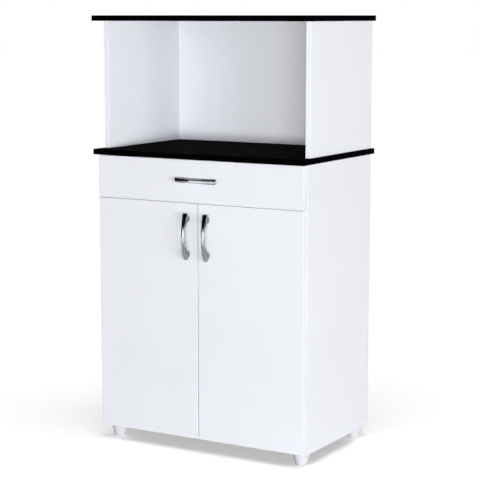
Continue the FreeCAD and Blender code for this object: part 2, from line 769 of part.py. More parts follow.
def crown_front(body):
    """Turn the front of a handle's grip to a crown across its width, about the middle of its bow."""
    edge = "handle_end_width / 2"
    bow_radius = arc_radius("handle_length / 2", "handle_reach - handle_end_reach")
    crown_radius = arc_radius(edge, "handle_crown")
    low = "-handle_reach + handle_crown"
    far = "-handle_reach - 2 * handle_crown"
    sketch = sketch_across(body, "z", "0")
    circle = Part.Circle(Vector(0, DRAFT_RADIUS, 0), Vector(0, 0, 1), DRAFT_RADIUS)
    facing = 3 * math.pi / 2
    arc = sketch.addGeometry(Part.ArcOfCircle(circle, facing - DRAFT_ANGLE, facing + DRAFT_ANGLE), False)
    pin_point(sketch, arc, START, (f"-{edge}", low))
    pin_point(sketch, arc, END, (edge, low))
    index = sketch.addConstraint(Sketcher.Constraint("DistanceY", -1, 1, arc, CENTRE, DRAFT_RADIUS))
    bind(sketch, f"Constraints[{index}]", f"-handle_reach + {crown_radius}")
    left = draw_line_from(sketch, (arc, START), (f"-{edge}", far))
    right = draw_line_from(sketch, (arc, END), (edge, far))
    join_points(sketch, left, right)
    axle = sketch.addGeometry(Part.LineSegment(Vector(0, 0, 0), Vector(DRAFT_RADIUS, 0, 0)), True)
    for point, across in ((START, "0"), (END, edge)):
        pin_point(sketch, axle, point, (across, f"-handle_reach + {bow_radius}"))
    groove = body.newObject("PartDesign::Groove", "Crown")
    groove.Profile = sketch
    groove.ReferenceAxis = (sketch, ["Axis0"])
    groove.Angle = 360
    body.Tip = groove
    return groove


def make_handle(label, x, z, lying):
    """A bow handle: an arched grip with a waist, on two posts that sweep into it.

    It is drawn upright about its own middle on the face of the board, and lies along X if asked."""
    body = new_body(label, x, "front_face", z)
    corner_of[body.Name] = dict.fromkeys("xyz", "0")
    if lying:
        body.Placement.Rotation = FreeCAD.Rotation(Vector(0, 1, 0), 90)
    side_view = sketch_across(body, "x", "-handle_end_width / 2")
    outer = draw_bow(side_view, -1, "-handle_reach - handle_crown", "-handle_end_reach - handle_crown")
    inner_top = "-handle_reach + handle_thickness"
    inner = draw_bow(side_view, -1, inner_top, "-handle_end_reach + handle_end_thickness")
    for outer_end, inner_end in zip(outer, inner):
        join_points(side_view, outer_end, inner_end)
    pad_sketch(body, side_view, "x", "handle_end_width")
    waist = sketch_across(body, "y", "-handle_reach - handle_crown")
    for side in BOTH:
        edge = mirrored(side, "handle_end_width / 2")
        bow = draw_bow(waist, -side, mirrored(side, "handle_waist / 2"), edge)
        outside = mirrored(side, "handle_end_width")
        halves = ("handle_length / 2", "-handle_length / 2")
        rims = [draw_line_from(waist, bow_end, (outside, along)) for bow_end, along in zip(bow, halves)]
        join_points(waist, *rims)
    cut_sketch(body, waist, "y", "handle_reach + handle_crown")
    grip = crown_front(body)
    rounding = body.newObject("PartDesign::Fillet", "Rounding")
    rounding.Base = (grip, [""])
    rounding.UseAllEdges = True
    bind(rounding, "Radius", "handle_rounding")
    body.Tip = rounding
    posts = [("0", f"{end} * handle_pitch / 2") for end in ENDS]
    post_share = "(handle_pitch / handle_length) ^ 2"
    post = f"handle_reach - (handle_reach - handle_end_reach) * {post_share} - handle_thickness / 2"
    feet = add(body, "y", f"-({post})", post, rounds=rounds_at(posts, "handle_post_radius"))
    bind(feet, "TaperAngle", f"atan((handle_foot_radius - handle_post_radius) / ({post}))")
    webs = sketch_across(body, "x", "-handle_web / 2")
    for end in ENDS:
        draw_web(webs, end, f"-({post})")
    pad_sketch(body, webs, "x", "handle_web")
    bores = rounds_at(posts, "handle_screw_radius + screw_play")
    cut(body, "y", "-handle_screw_bite", "handle_screw_bite", rounds=bores)


def plan(side, inward, forward):
    """A place in plan, from the outer back corner of a door."""
    return mirrored(side, f"half - reveal - ({inward})"), f"door_back - ({forward})"


def cup_centres(side):
    """The middles of a door's two hinge cups."""
    return [(mirrored(side, "half - reveal - cup_inward"), height) for height in HINGE_HEIGHTS]


def cup_screw_centres(side):
    """The middles of the screws above and below each hinge cup."""
    return [(x, f"{z} + {end} * cup_screw_pitch / 2") for x, z in cup_centres(side) for end in ENDS]


def make_door(side):
    name = SIDE_NAMES[side]
    x = "-half + reveal" if side == LEFT else "seam_gap / 2"
    corner = (x, "front_face", "door_low")
    body = new_board(f"{name}_door", corner, ("door_width", "front_board", "(door_top - door_low)"))
    across = mirrored(side, "door_handle_across")
    posts = [(across, f"door_handle_middle + {end} * handle_pitch / 2") for end in ENDS]
    handle_screw_holes(body, posts)
    cups = rounds_at(cup_centres(side), "cup_radius")
    cut(body, "y", "door_back - cup_depth - cup_play", "cup_depth + cup_play", rounds=cups)
    screws = rounds_at(cup_screw_centres(side), "cup_screw_radius + screw_play")
    cut(body, "y", "door_back - cup_screw_bite", "cup_screw_bite", rounds=screws)
    make_handle(f"{name}_door_handle", across, "door_handle_middle", lying=False)
    make_handle_screws(f"{name}_handle_screws", posts)
    make_bumpers(side)


def make_bumpers(side):
    x = mirrored(side, "seam_gap / 2 + bumper_inset")
    body = new_body(f"{SIDE_NAMES[side]}_door_bumpers", x, "door_back", "door_low")
    centres = [(x, "(rail_low + door_top) / 2"), (x, "(door_low + side_low) / 2")]
    add(body, "y", "door_back", "door_gap - bumper_gap", rounds=rounds_at(centres, "bumper_radius"))


def make_hinge_cups(side):
    name = SIDE_NAMES[side]
    cups = cup_centres(side)
    screws = cup_screw_centres(side)
    body = new_body(f"{name}_hinge_cups", cups[0][0], "door_back", cups[0][1])
    add(body, "y", "door_back - cup_depth", "cup_depth", rounds=rounds_at(cups, "cup_radius - cup_play"))
    flanges = [
        rectangle(
            (f"{x} - cup_flange_width / 2", f"{z} - cup_flange_height / 2"),
            (f"{x} + cup_flange_width / 2", f"{z} + cup_flange_height / 2"),
        )
        for x, z in cups
    ]
    add(body, "y", "door_back", "cup_flange", flanges)
    hollow = rounds_at(cups, "cup_radius - cup_play - cup_wall")
    cut(body, "y", "door_back - cup_depth + cup_wall", "cup_depth - cup_wall + cup_flange", rounds=hollow)
    cut(body, "y", "door_back", "cup_flange", rounds=rounds_at(screws, "cup_screw_radius + screw_play"))
    body = new_body(f"{name}_cup_screws", screws[0][0], "door_back", screws[0][1])
    shanks = rounds_at(screws, "cup_screw_radius")
    add(body, "y", "door_back - cup_screw_bite", "cup_screw_bite + cup_flange", rounds=shanks)
    heads = rounds_at(screws, "cup_screw_head_radius")
    add(body, "y", "door_back + cup_flange", "cup_screw_head", rounds=heads)


def make_hinge_links(side):
    root = plan(side, "link_root_inward", "-link_root_behind")
    tip = plan(side, "link_tip_inward", "link_tip_forward")
    body = new_body(f"{SIDE_NAMES[side]}_hinge_links", root[0], root[1], HINGE_HEIGHTS[0])
    strip = [
        (root[0], f"{root[1]} - link_thickness / 2"),
        (tip[0], f"{tip[1]} - link_thickness / 2"),
        (tip[0], f"{tip[1]} + link_thickness / 2"),
        (root[0], f"{root[1]} + link_thickness / 2"),
    ]
    for height in HINGE_HEIGHTS:
        low = f"{height} - link_half"
        add(body, "z", low, "link_height", [strip])
        add(body, "z", low, "link_height", rounds=[(root, "link_eye_radius"), (tip, "link_tip_radius")])
    for height in HINGE_HEIGHTS:
        low = f"{height} - link_half"
        cut(body, "z", low, "link_height", rounds=[(root, "hinge_pin_radius + hinge_pin_play")])


def make_hinge_arms(side):
    root = plan(side, "link_root_inward", "-link_root_behind")
    body = new_body(f"{SIDE_NAMES[side]}_hinge_arms", root[0], root[1], HINGE_HEIGHTS[0])
    bend = "-arm_nose_length"
    heel = "-arm_nose_length - arm_slope_length"
    stations = ("-arm_nose_gap", bend, heel, "-arm_length")

    def edge(nose, tail):
        """The line of an arm's edge in plan, from its nose to its tail."""
        return [plan(side, inward, forward) for inward, forward in zip((nose, nose, tail, tail), stations)]

    outer = edge("arm_nose_inward", "arm_inward")
    web = edge("arm_nose_inward - arm_steel", "arm_inward - arm_steel")
    cheek = edge("link_root_inward - arm_nose_width", "arm_inward - arm_cheek")
    for height in HINGE_HEIGHTS:
        low = f"{height} - cheek_half"
        add(body, "z", low, "2 * cheek_half", [outer + web[::-1]])
        for plate in (low, f"{height} + cheek_half - arm_steel"):
            add(body, "z", plate, "arm_steel", [outer + cheek[::-1]])
        add(body, "z", low, "2 * cheek_half", rounds=[(root, "hinge_pin_radius")])
    low, length = span(side, "arm_inward - arm_steel", "arm_inward", "half - reveal")
    cut(body, "x", low, length, rounds=rounds_at(ARM_SCREWS, "plate_screw_radius + screw_play"))


def make_hinge_plates(side):
    middle = "door_back + plate_line"
    body = new_body(f"{SIDE_NAMES[side]}_hinge_plates", mirrored(side, "inside"), middle, HINGE_HEIGHTS[0])
    low, length = span(side, "0", "plate_steel")
    for height in HINGE_HEIGHTS:
        strip = rectangle(
            (f"{middle} - plate_length / 2", f"{height} - plate_width / 2"),
            (f"{middle} + plate_length / 2", f"{height} + plate_width / 2"),
        )
        wings = rectangle(
            (f"{middle} - plate_wing / 2", f"{height} - plate_wing_height / 2"),
            (f"{middle} + plate_wing / 2", f"{height} + plate_wing_height / 2"),
        )
        riser = rectangle(
            (f"{middle} - riser_length / 2", f"{height} - link_half"),
            (f"{middle} + riser_length / 2", f"{height} + link_half"),
        )
        add(body, "x", low, length, [strip])
        add(body, "x", low, length, [wings])
        riser_low, riser_length = span(side, "plate_steel", "arm_rise - arm_steel")
        add(body, "x", riser_low, riser_length, [riser])
    cut(body, "x", low, length, rounds=rounds_at(PLATE_SCREWS, "plate_screw_radius + screw_play"))
    bore_low, bore_length = span(side, "arm_rise - arm_steel - arm_screw_bite", "arm_rise - arm_steel")
    bores = rounds_at(ARM_SCREWS, "plate_screw_radius + screw_play")
    cut(body, "x", bore_low, bore_length, rounds=bores)


def make_side_screws(label, kind, centres, tip, seat):
    """Screws along X on both sides: a shank from tip to seat, and a head over the seat."""
    body = new_body(label, "0", centres[0][0], centres[0][1])
    for side in BOTH:
        low, length = span(side, tip, seat)
        add(body, "x", low, length, rounds=rounds_at(centres, f"{kind}_radius"))
        low, length = span(side, seat, f"{seat} + {kind}_head")
        add(body, "x", low, length, rounds=rounds_at(centres, f"{kind}_head_radius"))


def make_hinge_screws():
    make_side_screws("hinge_plate_screws", "plate_screw", PLATE_SCREWS, "-plate_screw_bite", "plate_steel")
    tip = "arm_rise - arm_steel - arm_screw_bite"
    make_side_screws("hinge_arm_screws", "plate_screw", ARM_SCREWS, tip, "arm_rise")


def make_drawer_front():
    corner = ("-half + reveal", "front_face", "drawer_low")
    wide = "(cabinet_width - 2 * reveal)"
    body = new_board("drawer_front", corner, (wide, "front_board", "drawer_front_height"))
    posts = [(f"{end} * handle_pitch / 2", "drawer_handle_middle") for end in ENDS]
    handle_screw_holes(body, posts)
    groove = rectangle(
        ("-drawer_inside - groove_depth", "groove_low"),
        ("drawer_inside + groove_depth", "groove_low + drawer_sheet + groove_play"),
    )
    cut(body, "y", "door_back - groove_depth", "groove_depth", [groove])
    bolts = rounds_at(DRAWER_BOLTS, "drawer_bolt_radius + screw_play")
    cut(body, "y", "door_back - cam_bolt_bite", "cam_bolt_bite", rounds=bolts)
    make_handle("drawer_handle", "0", "drawer_handle_middle", lying=True)
    make_handle_screws("drawer_handle_screws", posts)


def make_drawer_side(side):
    x = "-drawer_half" if side == LEFT else "drawer_inside"
    corner = (x, "door_back", "drawer_box_low")
    size = ("drawer_board", "drawer_depth", "drawer_box_height")
    body = new_board(f"drawer_{SIDE_NAMES[side]}_side", corner, size)
    groove = rectangle(
        ("door_back", "groove_low"), ("drawer_box_back", "groove_low + drawer_sheet + groove_play")
    )
    low, length = span(side, "-groove_depth", "0", "drawer_inside")
    cut(body, "x", low, length, [groove])
    low, length = span(side, "-drawer_cam_depth", "0", "drawer_inside")
    cut(body, "x", low, length, rounds=rounds_at(DRAWER_CAMS, "drawer_cam_radius"))
    bolt = [(mirrored(side, "drawer_half - drawer_board / 2"), "drawer_cam_height")]
    cut(body, "y", "door_back", "drawer_cam_set", rounds=rounds_at(bolt, "drawer_bolt_radius + screw_play"))
    low, length = span(side, "0", "drawer_board", "drawer_half")
    cut(body, "x", low, length, rounds=rounds_at(DRAWER_BACK_SCREWS, "drawer_screw_radius + screw_play"))
    low, length = span(side, "0", "drawer_runner_screw_bite", "drawer_half")
    screws = rounds_at(DRAWER_RUNNER_SCREWS, "runner_screw_radius + screw_play")
    cut(body, "x", low, length, rounds=screws)


def make_drawer_back():
    corner = ("-drawer_inside", "drawer_box_back - drawer_board", "groove_low + drawer_sheet")
    size = ("2 * drawer_inside", "drawer_board", "(drawer_box_height - groove_rise - drawer_sheet)")
    body = new_board("drawer_back", corner, size)
    screws = rounds_at(DRAWER_BACK_SCREWS, "drawer_screw_radius + screw_play")
    for side in BOTH:
        low, length = span(side, "0", "drawer_screw_length - drawer_board", "drawer_inside")
        cut(body, "x", low, length, rounds=screws)


def make_drawer_bottom():
    corner = ("-sheet_half", "door_back - groove_depth + groove_play", "groove_low")
    deep = "drawer_depth + groove_depth - groove_play"
    new_sheet("drawer_bottom", corner, ("2 * sheet_half", deep, "drawer_sheet"))


def make_drawer_fasteners():
    discs = new_body("drawer_cam_discs", "0", "door_back + drawer_cam_set", "drawer_cam_height")
    for side in BOTH:
        low, length = span(side, "-drawer_cam_depth", "0", "drawer_inside")
        add(discs, "x", low, length, rounds=rounds_at(DRAWER_CAMS, "drawer_cam_radius - screw_play"))
    slots = rounds_at(DRAWER_BOLTS, "drawer_bolt_radius + screw_play")
    reach = "drawer_cam_radius + cam_bolt_end"
    cut(discs, "y", "door_back + drawer_cam_set - drawer_cam_radius", reach, rounds=slots)
    bolts = new_body("drawer_cam_bolts", "0", "door_back", "drawer_cam_height")
    length = "cam_bolt_bite + drawer_cam_set"
    rounds = rounds_at(DRAWER_BOLTS, "drawer_bolt_radius")
    add(bolts, "y", "door_back - cam_bolt_bite", length, rounds=rounds)
    screws = new_body("drawer_back_screws", "0", "drawer_box_back", "drawer_box_top")
    for side in BOTH:
        low, length = span(side, "0", "drawer_screw_length", "drawer_half")
        add(screws, "x", low, length, rounds=rounds_at(DRAWER_BACK_SCREWS, "drawer_screw_radius"))


def make_cabinet_runner(side):
    """A channel on the side panel, open towards the drawer, with the stud of its front roller."""
    def corner(inward, up):
        return mirrored(side, f"inside - ({inward})"), f"runner_low + {up}"

    label = f"{SIDE_NAMES[side]}_cabinet_runner"
    body = new_body(label, mirrored(side, "inside"), "runner_front", "runner_low")
    profile = [
        corner("0", "0"),
        corner("runner_width", "0"),
        corner("runner_width", "runner_steel"),
        corner("runner_steel", "runner_steel"),
        corner("runner_steel", "runner_height - runner_steel"),
        corner("runner_width", "runner_height - runner_steel"),
        corner("runner_width", "runner_height"),
        corner("0", "runner_height"),
    ]
    add(body, "y", "runner_front", "runner_length", [profile])
    notch = rectangle(
        corner("runner_steel", "runner_height - runner_steel"), corner("runner_width", "runner_height")
    )
    cut(body, "y", "runner_front", "2 * roller_setback", [notch])
    low, length = span(side, "runner_steel", "roller_inset + roller_width")
    add(body, "x", low, length, rounds=[(("front_axle_y", "front_axle_z"), "axle_radius")])
    low, length = span(side, "0", "runner_steel")
    cut(body, "x", low, length, rounds=rounds_at(RUNNER_SCREWS, "runner_screw_radius + screw_play"))


def make_drawer_runner(side):
    """A rail under the drawer's side, with a ledge over the front roller and its own rear stud."""
    def corner(inward, z):
        return mirrored(side, f"inside - ({inward})"), z

    label = f"{SIDE_NAMES[side]}_drawer_runner"
    body = new_body(label, mirrored(side, "drawer_half"), "drawer_runner_front", "drawer_box_low")
    profile = [
        corner("runner_space - runner_steel", "drawer_box_low - runner_steel"),
        corner("runner_space + drawer_flange", "drawer_box_low - runner_steel"),
        corner("runner_space + drawer_flange", "drawer_box_low"),
        corner("runner_space", "drawer_box_low"),
        corner("runner_space", "ledge_low + runner_steel"),
        corner("ledge_inset", "ledge_low + runner_steel"),
        corner("ledge_inset", "ledge_low"),
        corner("runner_space - runner_steel", "ledge_low"),
    ]
    add(body, "y", "drawer_runner_front", "runner_length", [profile])
    low, length = span(side, "roller_inset", "runner_space - runner_steel")
    add(body, "x", low, length, rounds=[(("rear_axle_y", "rear_axle_z"), "axle_radius")])
    low, length = span(side, "runner_space - runner_steel", "runner_space")
    cut(body, "x", low, length, rounds=rounds_at(DRAWER_RUNNER_SCREWS, "runner_screw_radius + screw_play"))


def make_runner_screws():
    tip = "-runner_screw_bite"
    make_side_screws("cabinet_runner_screws", "runner_screw", RUNNER_SCREWS, tip, "runner_steel")
    body = new_body("drawer_runner_screws", "0", *DRAWER_RUNNER_SCREWS[0])
    web = "runner_space - runner_steel"
    for side in BOTH:
        low, length = span(side, web, "runner_space + drawer_runner_screw_bite")
        add(body, "x", low, length, rounds=rounds_at(DRAWER_RUNNER_SCREWS, "runner_screw_radius"))
        low, length = span(side, f"{web} - runner_screw_head", web)
        add(body, "x", low, length, rounds=rounds_at(DRAWER_RUNNER_SCREWS, "runner_screw_head_radius"))


def make_rollers(label, centre, radius):
    body = new_body(label, "0", centre[0], centre[1])
    for side in BOTH:
        low, length = span(side, "roller_inset", "roller_inset + roller_width")
        add(body, "x", low, length, rounds=[(centre, radius), (centre, "axle_radius + axle_play")])


make_bottom_panel()
make_worktop()
make_top_panel()
make_back_panels()
make_divider_rail()
make_shelf()
make_feet()
make_board_screws()
make_cams()
make_dowels()
make_drawer_front()
make_drawer_back()
make_drawer_bottom()
make_drawer_fasteners()
make_hinge_screws()
make_runner_screws()
make_rollers("front_rollers", ("front_axle_y", "front_axle_z"), "front_roller_radius")
make_rollers("rear_rollers", ("rear_axle_y", "rear_axle_z"), "rear_roller_radius")
for each_side in BOTH:
    make_base_side(each_side)
    make_bay_side(each_side)
    make_door(each_side)
    make_hinge_cups(each_side)
    make_hinge_links(each_side)
    make_hinge_arms(each_side)
    make_hinge_plates(each_side)
    make_drawer_side(each_side)
    make_cabinet_runner(each_side)
    make_drawer_runner(each_side)
doc.recompute()


def stop_at(faults):
    """Stop the build and name what failed."""
    if faults:
        raise RuntimeError("; ".join(faults))


def has_failed(thing):
    """Whether a recompute left an object of the document failed."""
    return "Invalid" in thing.State or "Error" in thing.State


def cuts_nothing(thing):
    """Whether a pocket leaves the solid before it as it was."""
    return thing.TypeId == "PartDesign::Pocket" and thing.Shape.Volume >= thing.BaseFeature.Shape.Volume


stop_at([f"{thing.Name}: {thing.State}" for thing in doc.Objects if has_failed(thing)])
stop_at([f"{thing.Name} cuts nothing" for thing in doc.Objects if cuts_nothing(thing)])
unsound = [body.Label for body in subparts if body.Shape.isNull() or not body.Shape.isValid()]
stop_at([f"{label} has no valid shape" for label in unsound])

os.makedirs("parts", exist_ok=True)
for body in subparts:
    body.Shape.exportStep(f"parts/{body.Label}.step")
print(f"{len(subparts)} sub-parts written")
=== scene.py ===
"""Finishes, small fittings and studio of a microwave cabinet with a drawer, two doors and an open bay."""
import json
import math

import bmesh
import bpy
from bpy.props import FloatProperty, FloatVectorProperty, PointerProperty
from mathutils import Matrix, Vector


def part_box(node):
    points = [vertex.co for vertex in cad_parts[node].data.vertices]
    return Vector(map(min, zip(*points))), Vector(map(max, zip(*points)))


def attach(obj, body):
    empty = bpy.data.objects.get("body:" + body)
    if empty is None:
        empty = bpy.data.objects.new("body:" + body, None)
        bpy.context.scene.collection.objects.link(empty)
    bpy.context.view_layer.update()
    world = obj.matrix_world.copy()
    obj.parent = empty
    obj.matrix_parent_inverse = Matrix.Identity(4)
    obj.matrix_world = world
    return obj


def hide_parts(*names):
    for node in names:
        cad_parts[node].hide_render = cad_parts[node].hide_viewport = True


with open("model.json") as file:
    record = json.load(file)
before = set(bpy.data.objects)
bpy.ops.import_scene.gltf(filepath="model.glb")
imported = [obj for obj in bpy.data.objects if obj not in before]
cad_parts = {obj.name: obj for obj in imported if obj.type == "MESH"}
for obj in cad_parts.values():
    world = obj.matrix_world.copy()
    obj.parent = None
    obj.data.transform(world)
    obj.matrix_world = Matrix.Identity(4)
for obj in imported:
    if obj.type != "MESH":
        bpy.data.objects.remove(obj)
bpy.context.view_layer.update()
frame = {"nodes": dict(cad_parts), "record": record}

bl_info = {
    "name": "Microwave cabinet",
    "version": (1, 0, 0),
    "blender": (4, 5, 0),
    "location": "View3D > Sidebar > Cabinet",
    "description": "Finishes, small fittings and studio of a microwave cabinet",
    "category": "Object",
}

AXES = "xyz"
ORIGIN = (0.0, 0.0, 0.0)
SLOT_OF = {row["node"]: row["material_slot"] for row in frame["record"]["subparts"]}
BODY_OF = {
    node: body for body, nodes in frame["record"]["behaviour"]["bodies"].items() for node in nodes}
HANDLE_SCREWS = {
    "left_door_handle": "left_handle_screws",
    "right_door_handle": "right_handle_screws",
    "drawer_handle": "drawer_handle_screws",
}
BACK_PANELS = ("base_back_panel", "bay_back_panel")

# Distances below which two places count as one, in metres
MERGE_DISTANCE = 1e-6
SAME_PLACE = 1e-5

# How far a surface looks along a board's thin axis: less is the board's edge, more is its face
EDGE_BELOW = 0.4
FACE_ABOVE = 0.6
# Values between which most of a noise lies
NOISE_LOW = 0.3
NOISE_HIGH = 0.7
# Stretch of the marks on rolled plate
ROLLED = (1.0, 0.1, 1.0)

# Steps of a gusset's sweep and of its rounded edges, and the turn past which an edge stays sharp
GUSSET_STEPS = 10
GUSSET_ROUND_STEPS = 3
ROUND_PROFILE = 0.5
SHARP_TURN = math.radians(40.0)

# Screws: sides and steps of the head, sides of the shank, and shares of the head's height and radius
SCREW_HEAD_SIDES = 20
SCREW_HEAD_STEPS = 2
SCREW_SHANK_SIDES = 12
BEVEL_START = 0.25
BEVEL_DEPTH = 0.2
RECESS_SPAN = 1.1
RECESS_WIDTH = 0.26
RECESS_DEPTH = 1.2
# Length of a screw's point by the radius of its shank
POINT_LENGTH = 3.0

# Cover caps: sides and steps, how late the rim turns in, and how far by the radius
CAP_SIDES = 40
CAP_STEPS = 4
CAP_RIM_POWER = 2.5
CAP_RIM_DEPTH = 0.12

# Nails: sides of the head, and its top by its foot
NAIL_SIDES = 14
NAIL_TOP = 0.72

# Turn of each soft light to the right from straight in front, in degrees
FILL_TURNS = {
    "front_fill": -20,
    "corner_fill": 26,
    "side_fill": 62,
    "flank_fill": 80,
    "left_fill": -100,
    "back_fill": 180,
}
# Turn of each broad light that falls on the floor alone, in degrees
FLOOR_TURNS = {"floor_front": 14, "floor_side": 88}

# Upright boards that only the metal mirrors: both ends on the floor, and the top, in metres
DARK_BOARD = ((-3.0, -3.8), (-3.0, -0.2), 3.0)
WHITE_BOARD = ((-2.4, -3.3), (-0.4, -3.3), 0.8)
# Card over the floor that only the metal mirrors: two corners, and the height, in metres
GREY_CARD = ((-3.0, -1.75), (3.0, -0.42), 0.003)


class FinishColours(bpy.types.PropertyGroup):
    """Colours of the cabinet's surfaces."""

    melamine: FloatVectorProperty(
        name="Melamine", description="White face of the boards", subtype="COLOR",
        default=(0.835, 0.85, 0.905))
    edge_band: FloatVectorProperty(
        name="Edge band", description="White plastic of the edge strips and cover caps", subtype="COLOR",
        default=(0.85, 0.865, 0.92))
    laminate: FloatVectorProperty(
        name="Laminate", description="Black face of the worktop and the top", subtype="COLOR",
        default=(0.0007, 0.0006, 0.0008))
    hardboard: FloatVectorProperty(
        name="Hardboard", description="Bare rear of the thin back panels", subtype="COLOR",
        default=(0.36, 0.23, 0.13))
    chrome: FloatVectorProperty(
        name="Chrome", description="Plating of the handles", subtype="COLOR",
        default=(0.56, 0.57, 0.6))
    # Painted shade: a half-bright copy of the handle chrome for the gussets behind the grips, standing in
    # for the shade and dim reflections there
    dull_chrome: FloatVectorProperty(
        name="Chrome with painted shade", description="Plating behind the handles' grips", subtype="COLOR",
        default=(0.27, 0.275, 0.29))
    nickel: FloatVectorProperty(
        name="Nickel", description="Plating of the hinges", subtype="COLOR",
        default=(0.62, 0.6, 0.56))
    zinc: FloatVectorProperty(
        name="Zinc", description="Plating of the screws and pins", subtype="COLOR",
        default=(0.58, 0.6, 0.62))
    cast_zinc: FloatVectorProperty(
        name="Cast zinc", description="Body of the cam discs", subtype="COLOR",
        default=(0.42, 0.43, 0.45))
    plastic: FloatVectorProperty(
        name="Plastic", description="Feet and rollers", subtype="COLOR",
        default=(0.68, 0.69, 0.73))
    epoxy: FloatVectorProperty(
        name="Epoxy", description="Coat of the drawer runners", subtype="COLOR",
        default=(0.8, 0.81, 0.83))
    rubber: FloatVectorProperty(
        name="Rubber", description="Clear door bumpers", subtype="COLOR",
        default=(0.72, 0.74, 0.76))
    beech: FloatVectorProperty(
        name="Beech", description="Wood of the dowels", subtype="COLOR",
        default=(0.6, 0.4, 0.22))


class FittingSizes(bpy.types.PropertyGroup):
    """Sizes of the small fittings."""

    nail_pitch: FloatProperty(
        name="Nail pitch", description="Distance between the back panels' nails",
        unit="LENGTH", default=0.11)
    nail_inset: FloatProperty(
        name="Nail inset", description="Nails from the edge of a back panel",
        unit="LENGTH", default=0.0055)
    nail_radius: FloatProperty(
        name="Nail radius", description="Radius of a nail's head",
        unit="LENGTH", default=0.0026)
    nail_height: FloatProperty(
        name="Nail height", description="Height of a nail's head",
        unit="LENGTH", default=0.0004)
    nail_proud: FloatProperty(
        name="Nail proud", description="Nail's head past the face of its panel",
        unit="LENGTH", default=0.00002)
    gusset_width: FloatProperty(
        name="Gusset width", description="Width of a handle's gussets",
        unit="LENGTH", default=0.0128)
    gusset_sweep: FloatProperty(
        name="Gusset sweep", description="Gusset along the grip, from its post",
        unit="LENGTH", default=0.0155)
    gusset_post: FloatProperty(
        name="Gusset post", description="Half the gusset's length at the board",
        unit="LENGTH", default=0.0062)
    gusset_clear: FloatProperty(
        name="Gusset clearance", description="Gusset from the face of its board",
        unit="LENGTH", default=0.0012)
    gusset_root: FloatProperty(
        name="Gusset root", description="Inner end of the gusset inside the grip, from the board",
        unit="LENGTH", default=0.0222)
    gusset_tip: FloatProperty(
        name="Gusset tip", description="Outer end of the gusset inside the grip, from the board",
        unit="LENGTH", default=0.0135)
    gusset_tip_inset: FloatProperty(
        name="Gusset tip inset", description="Outer end of the gusset from the end of the grip",
        unit="LENGTH", default=0.0025)
    gusset_round: FloatProperty(
        name="Gusset rounding", description="Radius of the gusset's edges",
        unit="LENGTH", default=0.0012)
    cap_lip: FloatProperty(
        name="Cap lip", description="Cover cap past the cam under it",
        unit="LENGTH", default=0.0012)
    cap_height: FloatProperty(
        name="Cap height", description="Height of a cover cap",
        unit="LENGTH", default=0.0011)


